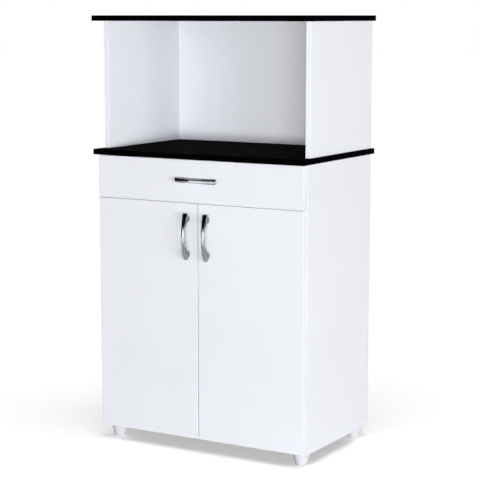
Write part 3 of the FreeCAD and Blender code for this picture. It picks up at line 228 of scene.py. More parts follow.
class StudioSizes(bpy.types.PropertyGroup):
    """Camera, floor and light."""

    camera_place: FloatVectorProperty(
        name="Camera place", description="Where the camera stands",
        subtype="TRANSLATION", unit="LENGTH", default=(2.18727, -3.69245, 1.20223))
    camera_turn: FloatProperty(
        name="Camera turn", description="Turn of the view to the left of straight on",
        subtype="ANGLE", default=math.radians(30.369))
    camera_dip: FloatProperty(
        name="Camera dip", description="Tilt of the view below level",
        subtype="ANGLE", default=math.radians(8.337))
    lens: FloatProperty(
        name="Lens", description="Focal length in millimetres", default=115.41)
    sensor: FloatProperty(
        name="Sensor", description="Width of the sensor in millimetres", default=36.0)
    floor_half: FloatProperty(
        name="Floor half", description="Half the width of the floor",
        unit="LENGTH", default=40.0)
    floor_colour: FloatVectorProperty(
        name="Floor colour", description="Paint of the floor",
        subtype="COLOR", default=(0.95, 0.95, 0.95))
    floor_bounce: FloatProperty(
        name="Floor bounce", description="Share of its light that the floor throws on to the object",
        default=0.15)
    floor_glow: FloatProperty(
        name="Floor glow", description="White added to the floor for the camera and for reflections",
        default=0.464)
    sky_low: FloatVectorProperty(
        name="Low sky", description="Backdrop near the horizon",
        subtype="COLOR", default=(1.0, 1.0, 1.0))
    sky_high: FloatVectorProperty(
        name="High sky", description="Ceiling of the studio",
        subtype="COLOR", default=(0.004, 0.004, 0.005))
    sky_start: FloatProperty(
        name="Sky start", description="Rise of a ray where the ceiling begins", default=0.03)
    sky_end: FloatProperty(
        name="Sky end", description="Rise of a ray where the ceiling is full", default=0.2)
    sky_light: FloatProperty(
        name="Sky light", description="Even light from all round", default=0.06)
    overhead: FloatProperty(
        name="Overhead", description="Strength of the light from above on the object", default=1.2)
    overhead_spread: FloatProperty(
        name="Overhead spread", description="Angle that the overhead light fills",
        subtype="ANGLE", default=math.radians(12.0))
    floor_front: FloatProperty(
        name="Floor front", description="Strength of the floor's broad light in front", default=0.86)
    floor_side: FloatProperty(
        name="Floor side", description="Strength of the floor's broad light on the right", default=0.9)
    floor_fill_spread: FloatProperty(
        name="Floor fill spread", description="Angle that a broad light of the floor fills",
        subtype="ANGLE", default=math.radians(38.0))
    floor_fill_rise: FloatProperty(
        name="Floor fill rise", description="Height of the floor's broad lights above level",
        subtype="ANGLE", default=math.radians(70.0))
    front_fill: FloatProperty(
        name="Front fill", description="Power of the soft light in front",
        unit="POWER", default=50.0)
    corner_fill: FloatProperty(
        name="Corner fill", description="Power of the soft light by the camera",
        unit="POWER", default=690.0)
    side_fill: FloatProperty(
        name="Side fill", description="Power of the soft light on the right",
        unit="POWER", default=515.0)
    flank_fill: FloatProperty(
        name="Flank fill", description="Power of the soft light square to the right side",
        unit="POWER", default=140.0)
    left_fill: FloatProperty(
        name="Left fill", description="Power of the soft light on the left side",
        unit="POWER", default=450.0)
    back_fill: FloatProperty(
        name="Back fill", description="Power of the soft light behind",
        unit="POWER", default=520.0)
    fill_distance: FloatProperty(
        name="Fill distance", description="Lights from the middle of the floor",
        unit="LENGTH", default=10.0)
    fill_height: FloatProperty(
        name="Fill height", description="Middle of the soft lights above the floor",
        unit="LENGTH", default=0.68)
    fill_width: FloatProperty(
        name="Fill width", description="Width of a soft light",
        unit="LENGTH", default=5.0)
    fill_tall: FloatProperty(
        name="Fill tall", description="Height of a soft light",
        unit="LENGTH", default=1.0)
    flag_colour: FloatVectorProperty(
        name="Flag colour", description="Dark board that the metal mirrors",
        subtype="COLOR", default=(0.01, 0.01, 0.012))
    card_colour: FloatVectorProperty(
        name="Card colour", description="Grey card that the metal mirrors",
        subtype="COLOR", default=(0.5, 0.505, 0.53))
    soft_box: FloatProperty(
        name="Soft box", description="Strength of the white board that the metal mirrors", default=1.7)


SETTINGS = {
    "cabinet_colours": FinishColours,
    "cabinet_fittings": FittingSizes,
    "cabinet_studio": StudioSizes,
}


def placed(name, data):
    """A new object of the scene that holds a mesh, a lamp or a camera."""
    holder = bpy.data.objects.new(name, data)
    bpy.context.scene.collection.objects.link(holder)
    return holder


def shaded(colour, share):
    """A colour made darker or lighter by a share."""
    return [channel * share for channel in colour]


class NodeGraph:
    """Short ways to add nodes to a graph and to join them."""

    def __init__(self, graph):
        self.graph = graph

    def feed(self, socket, value):
        """Join an output to a socket, or set a plain value on it."""
        if isinstance(value, bpy.types.NodeSocket):
            self.graph.links.new(value, socket)
        else:
            socket.default_value = value

    def add(self, kind, settings=None, **inputs):
        """Add a node, set its own settings, and join or set its inputs by name."""
        node = self.graph.nodes.new(kind)
        for name, value in (settings or {}).items():
            setattr(node, name, value)
        for name, value in inputs.items():
            self.feed(node.inputs[name.replace("_", " ")], value)
        return node

    def maths(self, operation, *values):
        """The result of an operation on numbers."""
        node = self.add("ShaderNodeMath", {"operation": operation})
        for socket, value in zip(node.inputs, values):
            self.feed(socket, value)
        return node.outputs["Value"]

    def tint(self, share, first, second):
        """A colour between two, by a share."""
        node = self.add("ShaderNodeMix", {"data_type": "RGBA"}, Factor=share)
        for label, colour in (("A", first), ("B", second)):
            joined = isinstance(colour, bpy.types.NodeSocket)
            self.feed(node.inputs[label], colour if joined else (*colour, 1.0))
        return node.outputs["Result"]


class Finish(NodeGraph):
    """A material's graph, with the textures that the finishes share."""

    def __init__(self, name):
        self.material = bpy.data.materials.new(name)
        self.material.use_nodes = True
        super().__init__(self.material.node_tree)
        self.shader = self.graph.nodes["Principled BSDF"]
        self.coordinates = self.add("ShaderNodeTexCoord")

    def set(self, **values):
        """Join or set the shader's own sockets by name."""
        for name, value in values.items():
            self.feed(self.shader.inputs[name.replace("_", " ")], value)

    def noise(self, scale, detail=2.0, roughness=0.5, stretch=(1.0, 1.0, 1.0)):
        """Random marks on the piece's own coordinates, which may be stretched along each axis."""
        place = self.add("ShaderNodeMapping", Vector=self.coordinates.outputs["Object"], Scale=stretch)
        marks = self.add(
            "ShaderNodeTexNoise", Vector=place.outputs["Vector"], Scale=scale, Detail=detail,
            Roughness=roughness)
        return marks.outputs["Fac"]

    def spread(self, value, low=0.0, high=1.0, start=NOISE_LOW, end=NOISE_HIGH):
        """A value from start to end, spread over low to high."""
        node = self.add(
            "ShaderNodeMapRange", Value=value, From_Min=start, From_Max=end, To_Min=low, To_Max=high)
        return node.outputs["Result"]

    def clouded(self, colour, low, high, scale, detail=3.0):
        """A colour that drifts between two shares of itself."""
        cloud = self.spread(self.noise(scale, detail))
        return self.tint(cloud, shaded(colour, low), shaded(colour, high))

    def bump(self, height, distance, strength):
        """Raise the surface by a texture."""
        node = self.add("ShaderNodeBump", Height=height, Distance=distance, Strength=strength)
        self.set(Normal=node.outputs["Normal"])

    def facing(self, axis):
        """How far a face looks along one of the piece's own axes, from -1 to 1."""
        parts = self.add("ShaderNodeSeparateXYZ", Vector=self.coordinates.outputs["Normal"])
        return parts.outputs[axis.upper()]


def board_finish(name, axis, face, edge, rough, specular):
    """Coated board: a faintly pebbled face, with a smoother strip round its edges."""
    finish = Finish(f"{name}_{axis}")
    turn = finish.maths("ABSOLUTE", finish.facing(axis))
    on_face = finish.spread(turn, start=EDGE_BELOW, end=FACE_ABOVE)
    cloudy = finish.clouded(face, low=0.985, high=1.01, scale=5.0)
    finish.set(
        Base_Color=finish.tint(on_face, edge, cloudy),
        Roughness=finish.spread(finish.noise(scale=40.0, detail=4.0), rough - 0.05, rough + 0.05),
        Specular_IOR_Level=specular)
    finish.bump(finish.noise(scale=1400.0, detail=1.0), distance=0.0001, strength=0.12)
    return finish.material


def melamine_finish(colours, axis):
    """White board with a white strip."""
    return board_finish(
        "white_melamine", axis, colours.melamine, colours.edge_band, rough=0.38, specular=0.32)


def laminate_finish(colours, axis):
    """Black board with a black strip, too dull to mirror the backdrop."""
    edge = shaded(colours.laminate, 1.3)
    return board_finish("black_laminate", axis, colours.laminate, edge, rough=0.6, specular=0.001)


def hardboard_finish(colours, axis, sign):
    """Thin board: white lacquer on one face, and bare brown fibre on the one that looks along the axis.

    sign is 1 or -1, for the way along the axis."""
    finish = Finish(f"hardboard_{axis}")
    bare = finish.spread(finish.facing(axis), start=EDGE_BELOW * sign, end=FACE_ABOVE * sign)
    fibre = finish.noise(scale=900.0, detail=6.0, roughness=0.7)
    mottle = finish.spread(finish.noise(scale=60.0, detail=4.0))
    streaks = finish.tint(mottle, shaded(colours.hardboard, 0.8), shaded(colours.hardboard, 1.15))
    brown = finish.tint(finish.spread(fibre, high=0.55), streaks, shaded(colours.hardboard, 0.45))
    white = finish.tint(mottle, colours.melamine, shaded(colours.melamine, 1.02))
    finish.set(
        Base_Color=finish.tint(bare, white, brown),
        Roughness=finish.spread(bare, low=0.42, high=0.78, start=0.0, end=1.0),
        Specular_IOR_Level=0.25)
    finish.bump(fibre, distance=0.0001, strength=0.25)
    return finish.material


def chrome_finish(name, colour, rough):
    """Polished plating, with the faintest haze and wipe marks."""
    finish = Finish(name)
    wipes = finish.noise(scale=900.0, stretch=(1.0, 1.0, 0.06))
    finish.set(
        Base_Color=finish.clouded(colour, low=0.97, high=1.0, scale=30.0),
        Roughness=finish.spread(wipes, rough - 0.025, rough + 0.025),
        Metallic=1.0)
    finish.bump(finish.noise(scale=120.0), distance=0.0001, strength=0.02)
    return finish.material


def plated_finish(name, colour, rough, grain=(1.0, 1.0, 1.0)):
    """Plated steel, with the fine marks of rolling or turning."""
    finish = Finish(name)
    marks = finish.noise(scale=700.0, detail=3.0, stretch=grain)
    finish.set(
        Base_Color=finish.clouded(colour, low=0.9, high=1.05, scale=70.0),
        Roughness=finish.spread(marks, rough - 0.07, rough + 0.09),
        Metallic=1.0)
    finish.bump(marks, distance=0.00005, strength=0.15)
    return finish.material


def moulded_finish(name, colour, rough):
    """Moulded plastic, with a fine spark-eroded skin."""
    finish = Finish(name)
    skin = finish.noise(scale=1800.0)
    finish.set(
        Base_Color=finish.clouded(colour, low=0.975, high=1.0, scale=25.0),
        Roughness=finish.spread(skin, rough - 0.05, rough + 0.05),
        Specular_IOR_Level=0.4)
    finish.bump(skin, distance=0.00008, strength=0.2)
    return finish.material


def epoxy_finish(colours):
    """Sprayed coat with the skin of orange peel."""
    finish = Finish("white_epoxy_steel")
    peel = finish.noise(scale=650.0, detail=1.0)
    finish.set(
        Base_Color=finish.clouded(colours.epoxy, low=0.97, high=1.0, scale=12.0),
        Roughness=finish.spread(peel, low=0.3, high=0.4))
    finish.bump(peel, distance=0.00012, strength=0.3)
    return finish.material


def rubber_finish(colours):
    """Clear soft plastic that lets some light through."""
    finish = Finish("bumper_rubber")
    cloud = finish.spread(finish.noise(scale=400.0))
    finish.set(
        Base_Color=finish.tint(cloud, shaded(colours.rubber, 0.94), colours.rubber),
        Roughness=finish.spread(cloud, low=0.25, high=0.36, start=0.0, end=1.0),
        Transmission_Weight=0.35,
        IOR=1.46)
    return finish.material


def beech_finish(colours):
    """Pale wood with short dark flecks along the grain."""
    finish = Finish("beech")
    grain = finish.noise(scale=500.0, detail=4.0, stretch=(1.0, 1.0, 0.08))
    fleck = finish.spread(grain, start=0.35, end=0.65)
    finish.set(
        Base_Color=finish.tint(fleck, shaded(colours.beech, 0.72), colours.beech),
        Roughness=finish.spread(fleck, low=0.68, high=0.55, start=0.0, end=1.0))
    finish.bump(grain, distance=0.0001, strength=0.2)
    return finish.material


def thin_axis(node):
    """The axis along which a board is thinnest."""
    low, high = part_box(node)
    size = high - low
    return AXES[list(size).index(min(size))]


def dress(node, material):
    """Give a piece of the frame its finish."""
    mesh = frame["nodes"][node].data
    mesh.materials.clear()
    mesh.materials.append(material)


def nodes_in(slot):
    """The frame's pieces that have this material slot."""
    return [node for node, its_slot in SLOT_OF.items() if its_slot == slot]


def solids_of(node):
    """The vertices of each separate solid in a piece of the frame."""
    shape = bmesh.new()
    shape.from_mesh(frame["nodes"][node].data)
    bmesh.ops.remove_doubles(shape, verts=shape.verts, dist=MERGE_DISTANCE)
    seen = set()
    solids = []
    for start in shape.verts:
        if start in seen:
            continue
        seen.add(start)
        front = [start]
        solid = []
        while front:
            vert = front.pop()
            solid.append(vert.co.copy())
            for edge in vert.link_edges:
                other = edge.other_vert(vert)
                if other not in seen:
                    seen.add(other)
                    front.append(other)
        solids.append(solid)
    shape.free()
    return solids


def corners_of(points):
    """Lowest and highest corner of some points."""
    low = Vector([min(point[k] for point in points) for k in range(3)])
    high = Vector([max(point[k] for point in points) for k in range(3)])
    return low, high


def off_axis(offset, k):
    """Length of an offset without its part along one axis."""
    return Vector([0 if n == k else offset[n] for n in range(3)]).length


class Turned:
    """A round solid of the frame: its outer end, the way that end faces, and its sizes.

    The outer end is the wider one, or with inward the one towards the cabinet's middle."""

    def __init__(self, points, inward):
        low, high = corners_of(points)
        size = high - low
        middle = (low + high) / 2
        unlike = [abs(size[(k + 1) % 3] - size[(k + 2) % 3]) for k in range(3)]
        k = unlike.index(min(unlike))
        ends = {}
        for sign, place in ((-1, low[k]), (1, high[k])):
            ring = [point for point in points if abs(point[k] - place) < SAME_PLACE]
            ends[sign] = max(off_axis(point - middle, k) for point in ring)
        outer = max(ends, key=ends.get)
        if inward:
            outer = -1 if middle.x > 0 else 1
        self.aim = Vector([outer if n == k else 0 for n in range(3)])
        self.length = size[k]
        self.face = middle + self.aim * self.length / 2
        self.radius = ends[outer]
        self.shank = ends[-outer]
        wide = [point for point in points if off_axis(point - middle, k) > self.shank + SAME_PLACE]
        self.head = max((abs(point[k] - self.face[k]) for point in wide), default=0.0)


class FittingGraph(NodeGraph):
    """A geometry node group with named inputs, which sets a fitting at each place."""

    def __init__(self, name, lengths, vectors=()):
        super().__init__(bpy.data.node_groups.new(name, "GeometryNodeTree"))
        self.graph.is_modifier = True
        sockets = self.graph.interface
        sockets.new_socket("Geometry", in_out="OUTPUT", socket_type="NodeSocketGeometry")
        sockets.new_socket("Geometry", in_out="INPUT", socket_type="NodeSocketGeometry")
        kinds = {
            **dict.fromkeys(lengths, "NodeSocketFloat"),
            **dict.fromkeys(vectors, "NodeSocketVector"),
            "Finish": "NodeSocketMaterial",
        }
        self.identifiers = {}
        for label, kind in kinds.items():
            socket = sockets.new_socket(label, in_out="INPUT", socket_type=kind)
            self.identifiers[label] = socket.identifier
        self.entry = self.add("NodeGroupInput")
        self.exit = self.add("NodeGroupOutput")

    def input(self, label):
        """The value of a named input."""
        return self.entry.outputs[label]

    def vector(self, x, y, z):
        """A vector from its three parts."""
        return self.add("ShaderNodeCombineXYZ", X=x, Y=y, Z=z).outputs["Vector"]

    def place(self):
        """The three parts of each vertex's place, by name."""
        position = self.add("GeometryNodeInputPosition").outputs["Position"]
        return self.add("ShaderNodeSeparateXYZ", Vector=position).outputs

    def narrowed(self, mesh, place, share):
        """A mesh drawn in to its upright axis, by a share at each vertex."""
        x, y = (self.maths("MULTIPLY", place[axis], share) for axis in "XY")
        node = self.add("GeometryNodeSetPosition", Geometry=mesh, Position=self.vector(x, y, place["Z"]))
        return node.outputs["Geometry"]

    def lifted(self, mesh, height):
        """A mesh moved up by a height."""
        offset = self.vector(0.0, 0.0, height)
        return self.add("GeometryNodeTransform", Geometry=mesh, Translation=offset).outputs["Geometry"]

    def joined(self, *meshes):
        """Some meshes as one."""
        node = self.add("GeometryNodeJoinGeometry")
        for mesh in meshes:
            self.feed(node.inputs["Geometry"], mesh)
        return node.outputs["Geometry"]

    def scattered(self, shape):
        """A shape at each point of the piece, its top turned to the point's own aim."""
        aim = self.add("GeometryNodeInputNamedAttribute", {"data_type": "FLOAT_VECTOR"}, Name="aim")
        turn = self.add(
            "FunctionNodeAlignRotationToVector", {"axis": "Z"}, Vector=aim.outputs["Attribute"])
        node = self.add(
            "GeometryNodeInstanceOnPoints", Points=self.input("Geometry"), Instance=shape,
            Rotation=turn.outputs["Rotation"])
        return node.outputs["Instances"]

    def end(self, instances):
        """Turn instances to one mesh, give it its material and end the graph."""
        real = self.add("GeometryNodeRealizeInstances", Geometry=instances).outputs["Geometry"]
        dressed = self.add("GeometryNodeSetMaterial", Geometry=real, Material=self.input("Finish"))
        self.feed(self.exit.inputs["Geometry"], dressed.outputs["Geometry"])


def screw_graph():
    """A screw with a bevelled head, a crossed recess and a pointed shank, set at each point."""
    lengths = ("Head Radius", "Head Height", "Shank Radius", "Length")
    graph = FittingGraph("Crossed screws", lengths)
    radius, height, shank, length = (graph.input(label) for label in lengths)

    blank = graph.add(
        "GeometryNodeMeshCylinder", Vertices=SCREW_HEAD_SIDES, Side_Segments=SCREW_HEAD_STEPS,
        Radius=radius, Depth=height)
    place = graph.place()
    is_top = graph.maths("GREATER_THAN", place["Z"], graph.maths("MULTIPLY", height, BEVEL_START))
    share = graph.maths("MULTIPLY_ADD", is_top, -BEVEL_DEPTH, 1.0)
    bevelled = graph.narrowed(blank.outputs["Mesh"], place, share)
    head = graph.lifted(bevelled, graph.maths("MULTIPLY", height, -0.5))

    span = graph.maths("MULTIPLY", radius, RECESS_SPAN)
    width = graph.maths("MULTIPLY", radius, RECESS_WIDTH)
    deep = graph.maths("MULTIPLY", height, RECESS_DEPTH)
    cut = graph.add(
        "GeometryNodeMeshBoolean", {"operation": "DIFFERENCE", "solver": "EXACT"}, Mesh_1=head)
    for size in ((span, width, deep), (width, span, deep)):
        bar = graph.add("GeometryNodeMeshCube", Size=graph.vector(*size))
        graph.feed(cut.inputs["Mesh 2"], bar.outputs["Mesh"])

    tip = graph.maths("MULTIPLY", shank, POINT_LENGTH)
    straight = graph.maths("SUBTRACT", graph.maths("SUBTRACT", length, height), tip)
    body = graph.add(
        "GeometryNodeMeshCone", Vertices=SCREW_SHANK_SIDES, Radius_Top=shank, Radius_Bottom=shank,
        Depth=straight)
    point = graph.add(
        "GeometryNodeMeshCone", Vertices=SCREW_SHANK_SIDES, Radius_Top=shank, Radius_Bottom=0.0,
        Depth=tip)
    screw = graph.joined(
        cut.outputs["Mesh"],
        graph.lifted(body.outputs["Mesh"], graph.maths("SUBTRACT", tip, length)),
        graph.lifted(point.outputs["Mesh"], graph.maths("MULTIPLY", length, -1.0)))
    graph.end(graph.scattered(screw))
    return graph


def cap_graph():
    """A low round cover with a rounded rim, set at each point."""
    graph = FittingGraph("Cover caps", ("Radius", "Height"))
    radius, height = graph.input("Radius"), graph.input("Height")
    blank = graph.add(
        "GeometryNodeMeshCylinder", Vertices=CAP_SIDES, Side_Segments=CAP_STEPS, Radius=radius,
        Depth=height)
    place = graph.place()
    rise = graph.maths("ADD", graph.maths("DIVIDE", place["Z"], height), 0.5)
    drawn_in = graph.maths("MULTIPLY", graph.maths("POWER", rise, CAP_RIM_POWER), CAP_RIM_DEPTH)
    rounded = graph.narrowed(blank.outputs["Mesh"], place, graph.maths("SUBTRACT", 1.0, drawn_in))
    graph.end(graph.scattered(graph.lifted(rounded, graph.maths("MULTIPLY", height, 0.5))))
    return graph


def nail_graph():
    """Nail heads in a row round a rectangle, which lies across Y."""
    lengths = ("Width", "Height", "Pitch", "Head Radius", "Head Height")
    graph = FittingGraph("Back nails", lengths, vectors=("Centre",))
    width, height, pitch, radius, rise = (graph.input(label) for label in lengths)
    outline = graph.add(
        "GeometryNodeCurvePrimitiveQuadrilateral", {"mode": "RECTANGLE"}, Width=width, Height=height)
    row = graph.add(
        "GeometryNodeResampleCurve", {"mode": "LENGTH"}, Curve=outline.outputs["Curve"], Length=pitch)
    points = graph.add("GeometryNodeCurveToPoints", {"mode": "EVALUATED"}, Curve=row.outputs["Curve"])
    head = graph.add(
        "GeometryNodeMeshCone", Vertices=NAIL_SIDES, Side_Segments=1,
        Radius_Top=graph.maths("MULTIPLY", radius, NAIL_TOP), Radius_Bottom=radius, Depth=rise)
    nails = graph.add(
        "GeometryNodeInstanceOnPoints", Points=points.outputs["Points"], Instance=head.outputs["Mesh"])
    standing = graph.add(
        "GeometryNodeTransform", Geometry=nails.outputs["Instances"],
        Rotation=(-math.pi / 2, 0.0, 0.0), Translation=graph.input("Centre"))
    graph.end(standing.outputs["Geometry"])
    return graph


def grow(name, graph, points, values):
    """Run a graph on a mesh of aimed points and keep the plain mesh that comes out."""
    mesh = bpy.data.meshes.new(name)
    mesh.from_pydata([point for point, _ in points], [], [])
    aims = mesh.attributes.new("aim", "FLOAT_VECTOR", "POINT")
    aims.data.foreach_set("vector", [part for _, aim in points for part in aim])
    piece = placed(name, mesh)
    modifier = piece.modifiers.new("Shape", "NODES")
    modifier.node_group = graph.graph
    for label, value in values.items():
        modifier[graph.identifiers[label]] = value
    state = bpy.context.evaluated_depsgraph_get()
    grown = bpy.data.meshes.new_from_object(piece.evaluated_get(state))
    if not grown.polygons:
        raise RuntimeError(f"{name} came out empty")
    piece.modifiers.clear()
    piece.data = grown
    return piece


class CABINET_OT_boards(bpy.types.Operator):
    """Finish the boards, the worktop, the top and the thin back panels"""

    bl_idname = "cabinet.boards"
    bl_label = "Finish boards"

    def execute(self, context):
        colours = context.scene.cabinet_colours
        white = {axis: melamine_finish(colours, axis) for axis in AXES}
        black = laminate_finish(colours, "z")
        for node in nodes_in("white_melamine"):
            dress(node, white[thin_axis(node)])
        for node in nodes_in("black_laminate"):
            dress(node, black)
        bare_behind = hardboard_finish(colours, "y", 1)
        bare_under = hardboard_finish(colours, "z", -1)
        for node in nodes_in("white_hardboard"):
            dress(node, bare_under if thin_axis(node) == "z" else bare_behind)
        return {"FINISHED"}


class CABINET_OT_fittings(bpy.types.Operator):
    """Finish the handles, hinges, runners, feet and other fittings"""

    bl_idname = "cabinet.fittings"
    bl_label = "Finish fittings"

    def execute(self, context):
        colours = context.scene.cabinet_colours
        finishes = {
            "chrome": chrome_finish("chrome", colours.chrome, rough=0.075),
            "nickel_plate": plated_finish("nickel_plate", colours.nickel, rough=0.24, grain=ROLLED),
            "zinc_steel": plated_finish("zinc_steel", colours.zinc, rough=0.32),
            "cast_zinc": plated_finish("cast_zinc", colours.cast_zinc, rough=0.46),
            "white_foot_plastic": moulded_finish("white_foot_plastic", colours.plastic, rough=0.42),
            "white_roller_plastic": moulded_finish("white_roller_plastic", colours.plastic, rough=0.34),
            "white_epoxy_steel": epoxy_finish(colours),
            "bumper_rubber": rubber_finish(colours),
            "beech": beech_finish(colours),
        }
        for slot, material in finishes.items():
            for node in nodes_in(slot):
                dress(node, material)
        return {"FINISHED"}


def gusset_outline(sizes, post, half):
    """Outline of a gusset: along the handle from its middle, and out from the board.

    post is the place of the handle's post, half the half of the handle's length."""
    low = sizes.gusset_clear
    root = post - sizes.gusset_post - sizes.gusset_sweep
    outline = []
    for step in range(GUSSET_STEPS + 1):
        turn = math.pi / 2 * step / GUSSET_STEPS
        along = root + sizes.gusset_sweep * math.sin(turn)
        outline.append((along, low + (sizes.gusset_root - low) * math.cos(turn)))
    outline.append((post + sizes.gusset_post, low))
    outline.append((half - sizes.gusset_tip_inset, sizes.gusset_tip))
    return outline


def add_gusset(shape, outline, middle, along, sizes):
    """Add a gusset to a shape, by the handle's middle on the board and the way to its end."""
    out = Vector((0.0, -1.0, 0.0))
    across = along.cross(out) * sizes.gusset_width / 2
    sides = []
    for side in (-1, 1):
        places = [middle + along * s + out * d + across * side for s, d in outline]
        sides.append([shape.verts.new(place) for place in places])
    rims = [shape.faces.new(side).edges[:] for side in sides]
    for k in range(len(outline)):
        n = (k + 1) % len(outline)
        shape.faces.new([sides[0][k], sides[0][n], sides[1][n], sides[1][k]])
    bmesh.ops.bevel(
        shape, geom=[edge for rim in rims for edge in rim], offset=sizes.gusset_round,
        segments=GUSSET_ROUND_STEPS, profile=ROUND_PROFILE, affect="EDGES")


class CABINET_OT_gussets(bpy.types.Operator):
    """Sweep the posts of each handle into its grip"""

    bl_idname = "cabinet.gussets"
    bl_label = "Make handle gussets"

    def execute(self, context):
        sizes = context.scene.cabinet_fittings
        # The gussets take the half-bright copy of the chrome, which is painted shade behind the grips
        material = chrome_finish("dull_chrome", context.scene.cabinet_colours.dull_chrome, rough=0.2)
        for node, screws in HANDLE_SCREWS.items():
            low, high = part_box(node)
            middle = (low + high) / 2
            middle.y = high.y
            half = max(high.x - low.x, high.z - low.z) / 2
            shape = bmesh.new()
            for points in solids_of(screws):
                head = Turned(points, inward=False).face
                along = Vector((head.x - middle.x, 0.0, head.z - middle.z))
                outline = gusset_outline(sizes, along.length, half)
                add_gusset(shape, outline, middle, along.normalized(), sizes)
            bmesh.ops.recalc_face_normals(shape, faces=shape.faces)
            mesh = bpy.data.meshes.new(f"{node}_gussets")
            shape.to_mesh(mesh)
            shape.free()
            mesh.shade_smooth()
            mesh.set_sharp_from_angle(angle=SHARP_TURN)
            mesh.materials.append(material)
            piece = placed(f"{node}_gussets", mesh)
            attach(piece, BODY_OF[node])
        return {"FINISHED"}


class CABINET_OT_screws(bpy.types.Operator):
    """Put screws with a crossed recess where the frame has plain ones"""

    bl_idname = "cabinet.screws"
    bl_label = "Make screws"

    def execute(self, context):
        graph = screw_graph()
        material = bpy.data.materials["zinc_steel"]
        for node in nodes_in("zinc_steel"):
            turned = [Turned(points, inward=False) for points in solids_of(node)]
            if not all(screw.head for screw in turned):
                continue
            first = turned[0]
            values = {
                "Head Radius": first.radius,
                "Head Height": first.head,
                "Shank Radius": first.shank,
                "Length": first.length,
                "Finish": material,
            }
            points = [(screw.face, screw.aim) for screw in turned]
            piece = grow(f"crossed_{node}", graph, points, values)
            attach(piece, BODY_OF[node])
            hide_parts(node)
        return {"FINISHED"}


class CABINET_OT_caps(bpy.types.Operator):
    """Cover the cam discs with thin white caps"""

    bl_idname = "cabinet.caps"
    bl_label = "Make cover caps"

    def execute(self, context):
        sizes = context.scene.cabinet_fittings
        graph = cap_graph()
        material = moulded_finish("cap_plastic", context.scene.cabinet_colours.edge_band, rough=0.36)
        for node in nodes_in("cast_zinc"):
            discs = [Turned(points, inward=True) for points in solids_of(node)]
            values = {
                "Radius": discs[0].radius + sizes.cap_lip,
                "Height": sizes.cap_height,
                "Finish": material,
            }
            points = [(disc.face, disc.aim) for disc in discs]
            piece = grow(f"{node}_caps", graph, points, values)
            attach(piece, BODY_OF[node])
        return {"FINISHED"}


class CABINET_OT_nails(bpy.types.Operator):
    """Nail the thin back panels round their edges"""

    bl_idname = "cabinet.nails"
    bl_label = "Make back nails"

    def execute(self, context):
        sizes = context.scene.cabinet_fittings
        graph = nail_graph()
        material = bpy.data.materials["zinc_steel"]
        for node in BACK_PANELS:
            low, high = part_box(node)
            middle = (low + high) / 2
            values = {
                "Width": high.x - low.x - 2 * sizes.nail_inset,
                "Height": high.z - low.z - 2 * sizes.nail_inset,
                "Pitch": sizes.nail_pitch,
                "Head Radius": sizes.nail_radius,
                "Head Height": sizes.nail_height,
                "Centre": (middle.x, high.y + sizes.nail_proud - sizes.nail_height, middle.z),
                "Finish": material,
            }
            piece = grow(f"{node}_nails", graph, [], values)
            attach(piece, BODY_OF[node])
        return {"FINISHED"}


def standing_corners(start, end, top):
    """Corners of a board that stands on the floor between two places."""
    return [(*start, 0.0), (*end, 0.0), (*end, top), (*start, top)]


def lying_corners(near, far, height):
    """Corners of a board that lies level between two of its corners."""
    return [(*near, height), (far[0], near[1], height), (*far, height), (near[0], far[1], height)]


def flat_board(name, corners, material):
    """A flat board of the studio."""
    mesh = bpy.data.meshes.new(name)
    mesh.from_pydata(corners, [], [(0, 1, 2, 3)])
    mesh.materials.append(material)
    return placed(name, mesh)


def floor_finish(studio):
    """White paint that keeps the shadow, with some plain white for the camera and for reflections."""
    finish = Finish("floor_paint")
    paint = finish.clouded(studio.floor_colour, low=0.995, high=1.0, scale=1.5, detail=2.0)
    dull = shaded(studio.floor_colour, studio.floor_bounce)
    path = finish.add("ShaderNodeLightPath").outputs
    mirrored = finish.maths("MAXIMUM", path["Is Glossy Ray"], path["Is Transmission Ray"])
    seen = finish.maths("MAXIMUM", path["Is Camera Ray"], mirrored)
    finish.set(
        Base_Color=finish.tint(seen, dull, paint),
        Roughness=0.9,
        Specular_IOR_Level=0.0,
        Emission_Color=(1.0, 1.0, 1.0, 1.0),
        Emission_Strength=finish.maths("MULTIPLY", seen, studio.floor_glow))
    return finish.material


def make_floor(studio):
    """A broad white floor."""
    half = studio.floor_half
    floor = flat_board("floor", lying_corners((-half, -half), (half, half), 0.0), floor_finish(studio))
    return floor


def make_sky(studio):
    """A white backdrop all round with a dark ceiling over it, and an even light for the object."""
    world = bpy.data.worlds.new("studio")
    bpy.context.scene.world = world
    world.use_nodes = True
    sky = NodeGraph(world.node_tree)
    ray = sky.add("ShaderNodeTexCoord").outputs["Generated"]
    rise = sky.add(
        "ShaderNodeMapRange", {"interpolation_type": "SMOOTHSTEP"},
        Value=sky.add("ShaderNodeSeparateXYZ", Vector=ray).outputs["Z"],
        From_Min=studio.sky_start, From_Max=studio.sky_end)
    backdrop = sky.tint(rise.outputs["Result"], studio.sky_low, studio.sky_high)
    path = sky.add("ShaderNodeLightPath").outputs
    colour = sky.tint(path["Is Diffuse Ray"], backdrop, [studio.sky_light] * 3)
    sky.feed(sky.graph.nodes["Background"].inputs["Color"], colour)


def make_reflector(name, corners, colour):
    """A board out of the camera's sight, which only the metal mirrors."""
    finish = Finish(name)
    finish.set(
        Base_Color=(0.0, 0.0, 0.0, 1.0),
        Roughness=1.0,
        Specular_IOR_Level=0.0,
        Emission_Color=finish.clouded(colour, low=0.98, high=1.0, scale=2.0, detail=2.0),
        Emission_Strength=1.0)
    board = flat_board(name, corners, finish.material)
    for kind in ("camera", "diffuse", "transmission", "shadow"):
        setattr(board, f"visible_{kind}", False)


